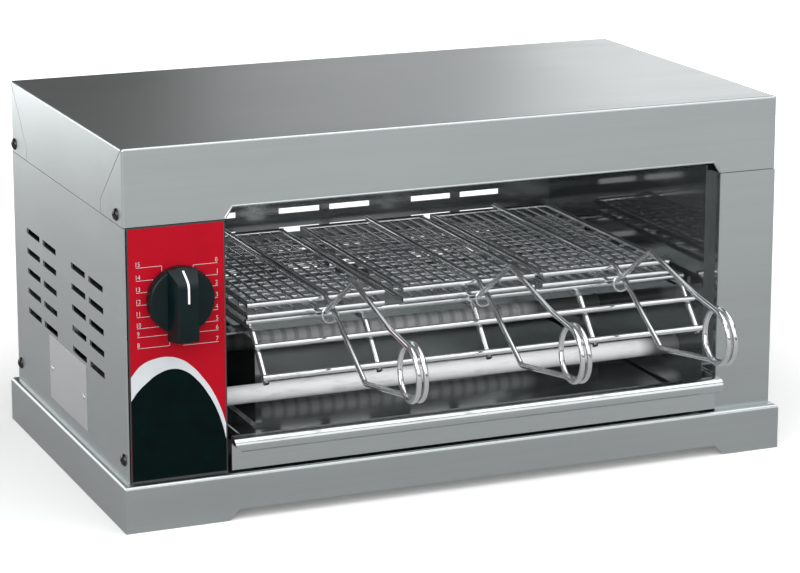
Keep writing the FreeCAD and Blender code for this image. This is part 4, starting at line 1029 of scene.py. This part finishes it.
class TOASTER_OT_stage(bpy.types.Operator):
    """Set the floor, the lights and the camera"""
    bl_idname = "toaster.stage"
    bl_label = "Stage"

    # Soft boxes: name, place, the point that it looks at, width and height, power
    LAMPS = (
        ("overhead", (0.4, -0.6, 2.0), (0, 0, 0.1), (2.8, 2.2), 44),
        ("front_right", (1.3, -2.3, 1.0), (0, 0, 0.1), (2.4, 1.5), 17),
        ("front_fill", (-1.3, -2.3, 1.1), (0, 0, 0.1), (1.8, 1.6), 38),
        ("left_fill", (-2.2, -0.9, 1.2), (0, 0, 0.1), (1.4, 1.4), 24),
        ("right_rear", (1.9, 2.3, 0.75), (0.1, 0, 0.2), (1.3, 1.3), 5),
        ("middle_rear", (1.4, 2.68, 0.75), (0, 0, 0.2), (1.2, 1.3), 2.6),
        ("left_rear", (-0.85, 1.05, 0.3), (-0.2, 0, 0.12), (0.8, 0.6), 4),
    )

    # The camera: place, angles in radians, and focal length and frame width in pixels
    CAMERA_PLACE = (-0.71886, -1.73211, 0.58636)
    LOOK_DOWN = 0.2241
    LOOK_RIGHT = 0.3976
    FOCAL_PIXELS = 2855.97
    FRAME_PIXELS = 800

    def lamp(self, name, place, target, size, power):
        """A soft box that looks at a point."""
        deselect()
        bpy.ops.object.light_add(type="AREA", location=place)
        lamp = bpy.context.object
        lamp.name = name
        lamp.data.shape = "RECTANGLE"
        lamp.data.size, lamp.data.size_y = size
        lamp.data.energy = power
        lamp.rotation_euler = (Vector(target) - Vector(place)).to_track_quat("-Z", "Y").to_euler()
        lamp.visible_camera = False

    def floor(self):
        """A pale floor that shows white and keeps the shadow, with painted shade near the object where its
        glow is lowered.
        """
        deselect()
        bpy.ops.mesh.primitive_plane_add(size=12, location=(0, 0, 0))
        floor = bpy.context.object
        floor.name = "floor"
        material = bpy.data.materials.new("Floor")
        material.use_nodes = True
        tree = material.node_tree
        shader = tree.nodes["Principled BSDF"]
        path = tree.nodes.new("ShaderNodeLightPath")
        pale = tree.nodes.new("ShaderNodeMix")
        pale.data_type = "RGBA"
        pale.inputs["A"].default_value = (0.3, 0.3, 0.3, 1)
        pale.inputs["B"].default_value = (0.85, 0.85, 0.85, 1)
        tree.links.new(path.outputs["Is Camera Ray"], pale.inputs["Factor"])
        tree.links.new(pale.outputs["Result"], shader.inputs["Base Color"])
        shader.inputs["Roughness"].default_value = 0.9
        shader.inputs["Specular IOR Level"].default_value = 0.0
        shader.inputs["Emission Color"].default_value = (1, 1, 1, 1)
        length = tree.nodes.new("ShaderNodeVectorMath")
        length.operation = "LENGTH"
        tree.links.new(tree.nodes.new("ShaderNodeTexCoord").outputs["Object"], length.inputs[0])
        # The glow is lowered near the object, in reflections and for the camera: painted shade round the
        # object.
        reflected_glow_shaded_near = ramp(tree, length.outputs["Value"], 0.35, 1.4, 0.18, 0.45)
        reflected_glow_shaded_near = maths(tree, "MULTIPLY", reflected_glow_shaded_near, path.outputs["Is Glossy Ray"])
        direct = maths(tree, "ADD", path.outputs["Is Camera Ray"],
                       path.outputs["Is Transmission Ray"], clamp=True)
        white = ramp(tree, length.outputs["Value"], 0.3, 1.2, 0.12, 0.9)
        glow = maths(tree, "ADD", maths(tree, "MULTIPLY", direct, white), reflected_glow_shaded_near)
        tree.links.new(glow, shader.inputs["Emission Strength"])
        floor.data.materials.append(material)

    def execute(self, context):
        self.floor()
        for row in self.LAMPS:
            self.lamp(*row)
        world = bpy.data.worlds.new("Studio")
        context.scene.world = world
        world.use_nodes = True
        tree = world.node_tree
        background = tree.nodes["Background"]
        path = tree.nodes.new("ShaderNodeLightPath")
        strength = ramp(tree, path.outputs["Is Camera Ray"], 0.0, 1.0, 0.12, 1.0)
        background.inputs["Color"].default_value = (1, 1, 1, 1)
        tree.links.new(strength, background.inputs["Strength"])
        context.scene.view_settings.view_transform = "Standard"

        deselect()
        bpy.ops.object.camera_add(location=self.CAMERA_PLACE,
                                  rotation=(math.pi / 2 - self.LOOK_DOWN, 0, -self.LOOK_RIGHT))
        camera = context.object
        camera.data.sensor_width = 36
        camera.data.lens = self.FOCAL_PIXELS * camera.data.sensor_width / self.FRAME_PIXELS
        camera.data.shift_y = -0.1
        camera.data.clip_start = 0.05
        context.scene.camera = camera
        return {"FINISHED"}


class TOASTER_PT_panel(bpy.types.Panel):
    """Lists the pieces of the toaster"""
    bl_idname = "TOASTER_PT_panel"
    bl_label = "Quartz toaster"
    bl_space_type = "VIEW_3D"
    bl_region_type = "UI"
    bl_category = "Toaster"

    def draw(self, context):
        for settings in (context.scene.toaster_sizes, context.scene.toaster_colours):
            box = self.layout.box()
            for name in settings.__annotations__:
                box.prop(settings, name)
        for operator in OPERATORS:
            self.layout.operator(operator.bl_idname)


OPERATORS = (
    TOASTER_OT_sheet_metal,
    TOASTER_OT_apron_hem,
    TOASTER_OT_fascia_print,
    TOASTER_OT_dial_marks,
    TOASTER_OT_knob,
    TOASTER_OT_screws,
    TOASTER_OT_wire_work,
    TOASTER_OT_heaters,
    TOASTER_OT_electrics,
    TOASTER_OT_stage,
)
CLASSES = (ToasterSizes, ToasterColours) + OPERATORS + (TOASTER_PT_panel,)


def register():
    for item in CLASSES:
        bpy.utils.register_class(item)
    bpy.types.Scene.toaster_sizes = PointerProperty(type=ToasterSizes)
    bpy.types.Scene.toaster_colours = PointerProperty(type=ToasterColours)


def unregister():
    del bpy.types.Scene.toaster_colours
    del bpy.types.Scene.toaster_sizes
    for item in reversed(CLASSES):
        bpy.utils.unregister_class(item)


def main():
    """Register the add-on and make every piece."""
    register()
    build_materials()
    for operator in OPERATORS:
        category, name = operator.bl_idname.split(".")
        getattr(getattr(bpy.ops, category), name)()


if __name__ == "__main__":
    main()
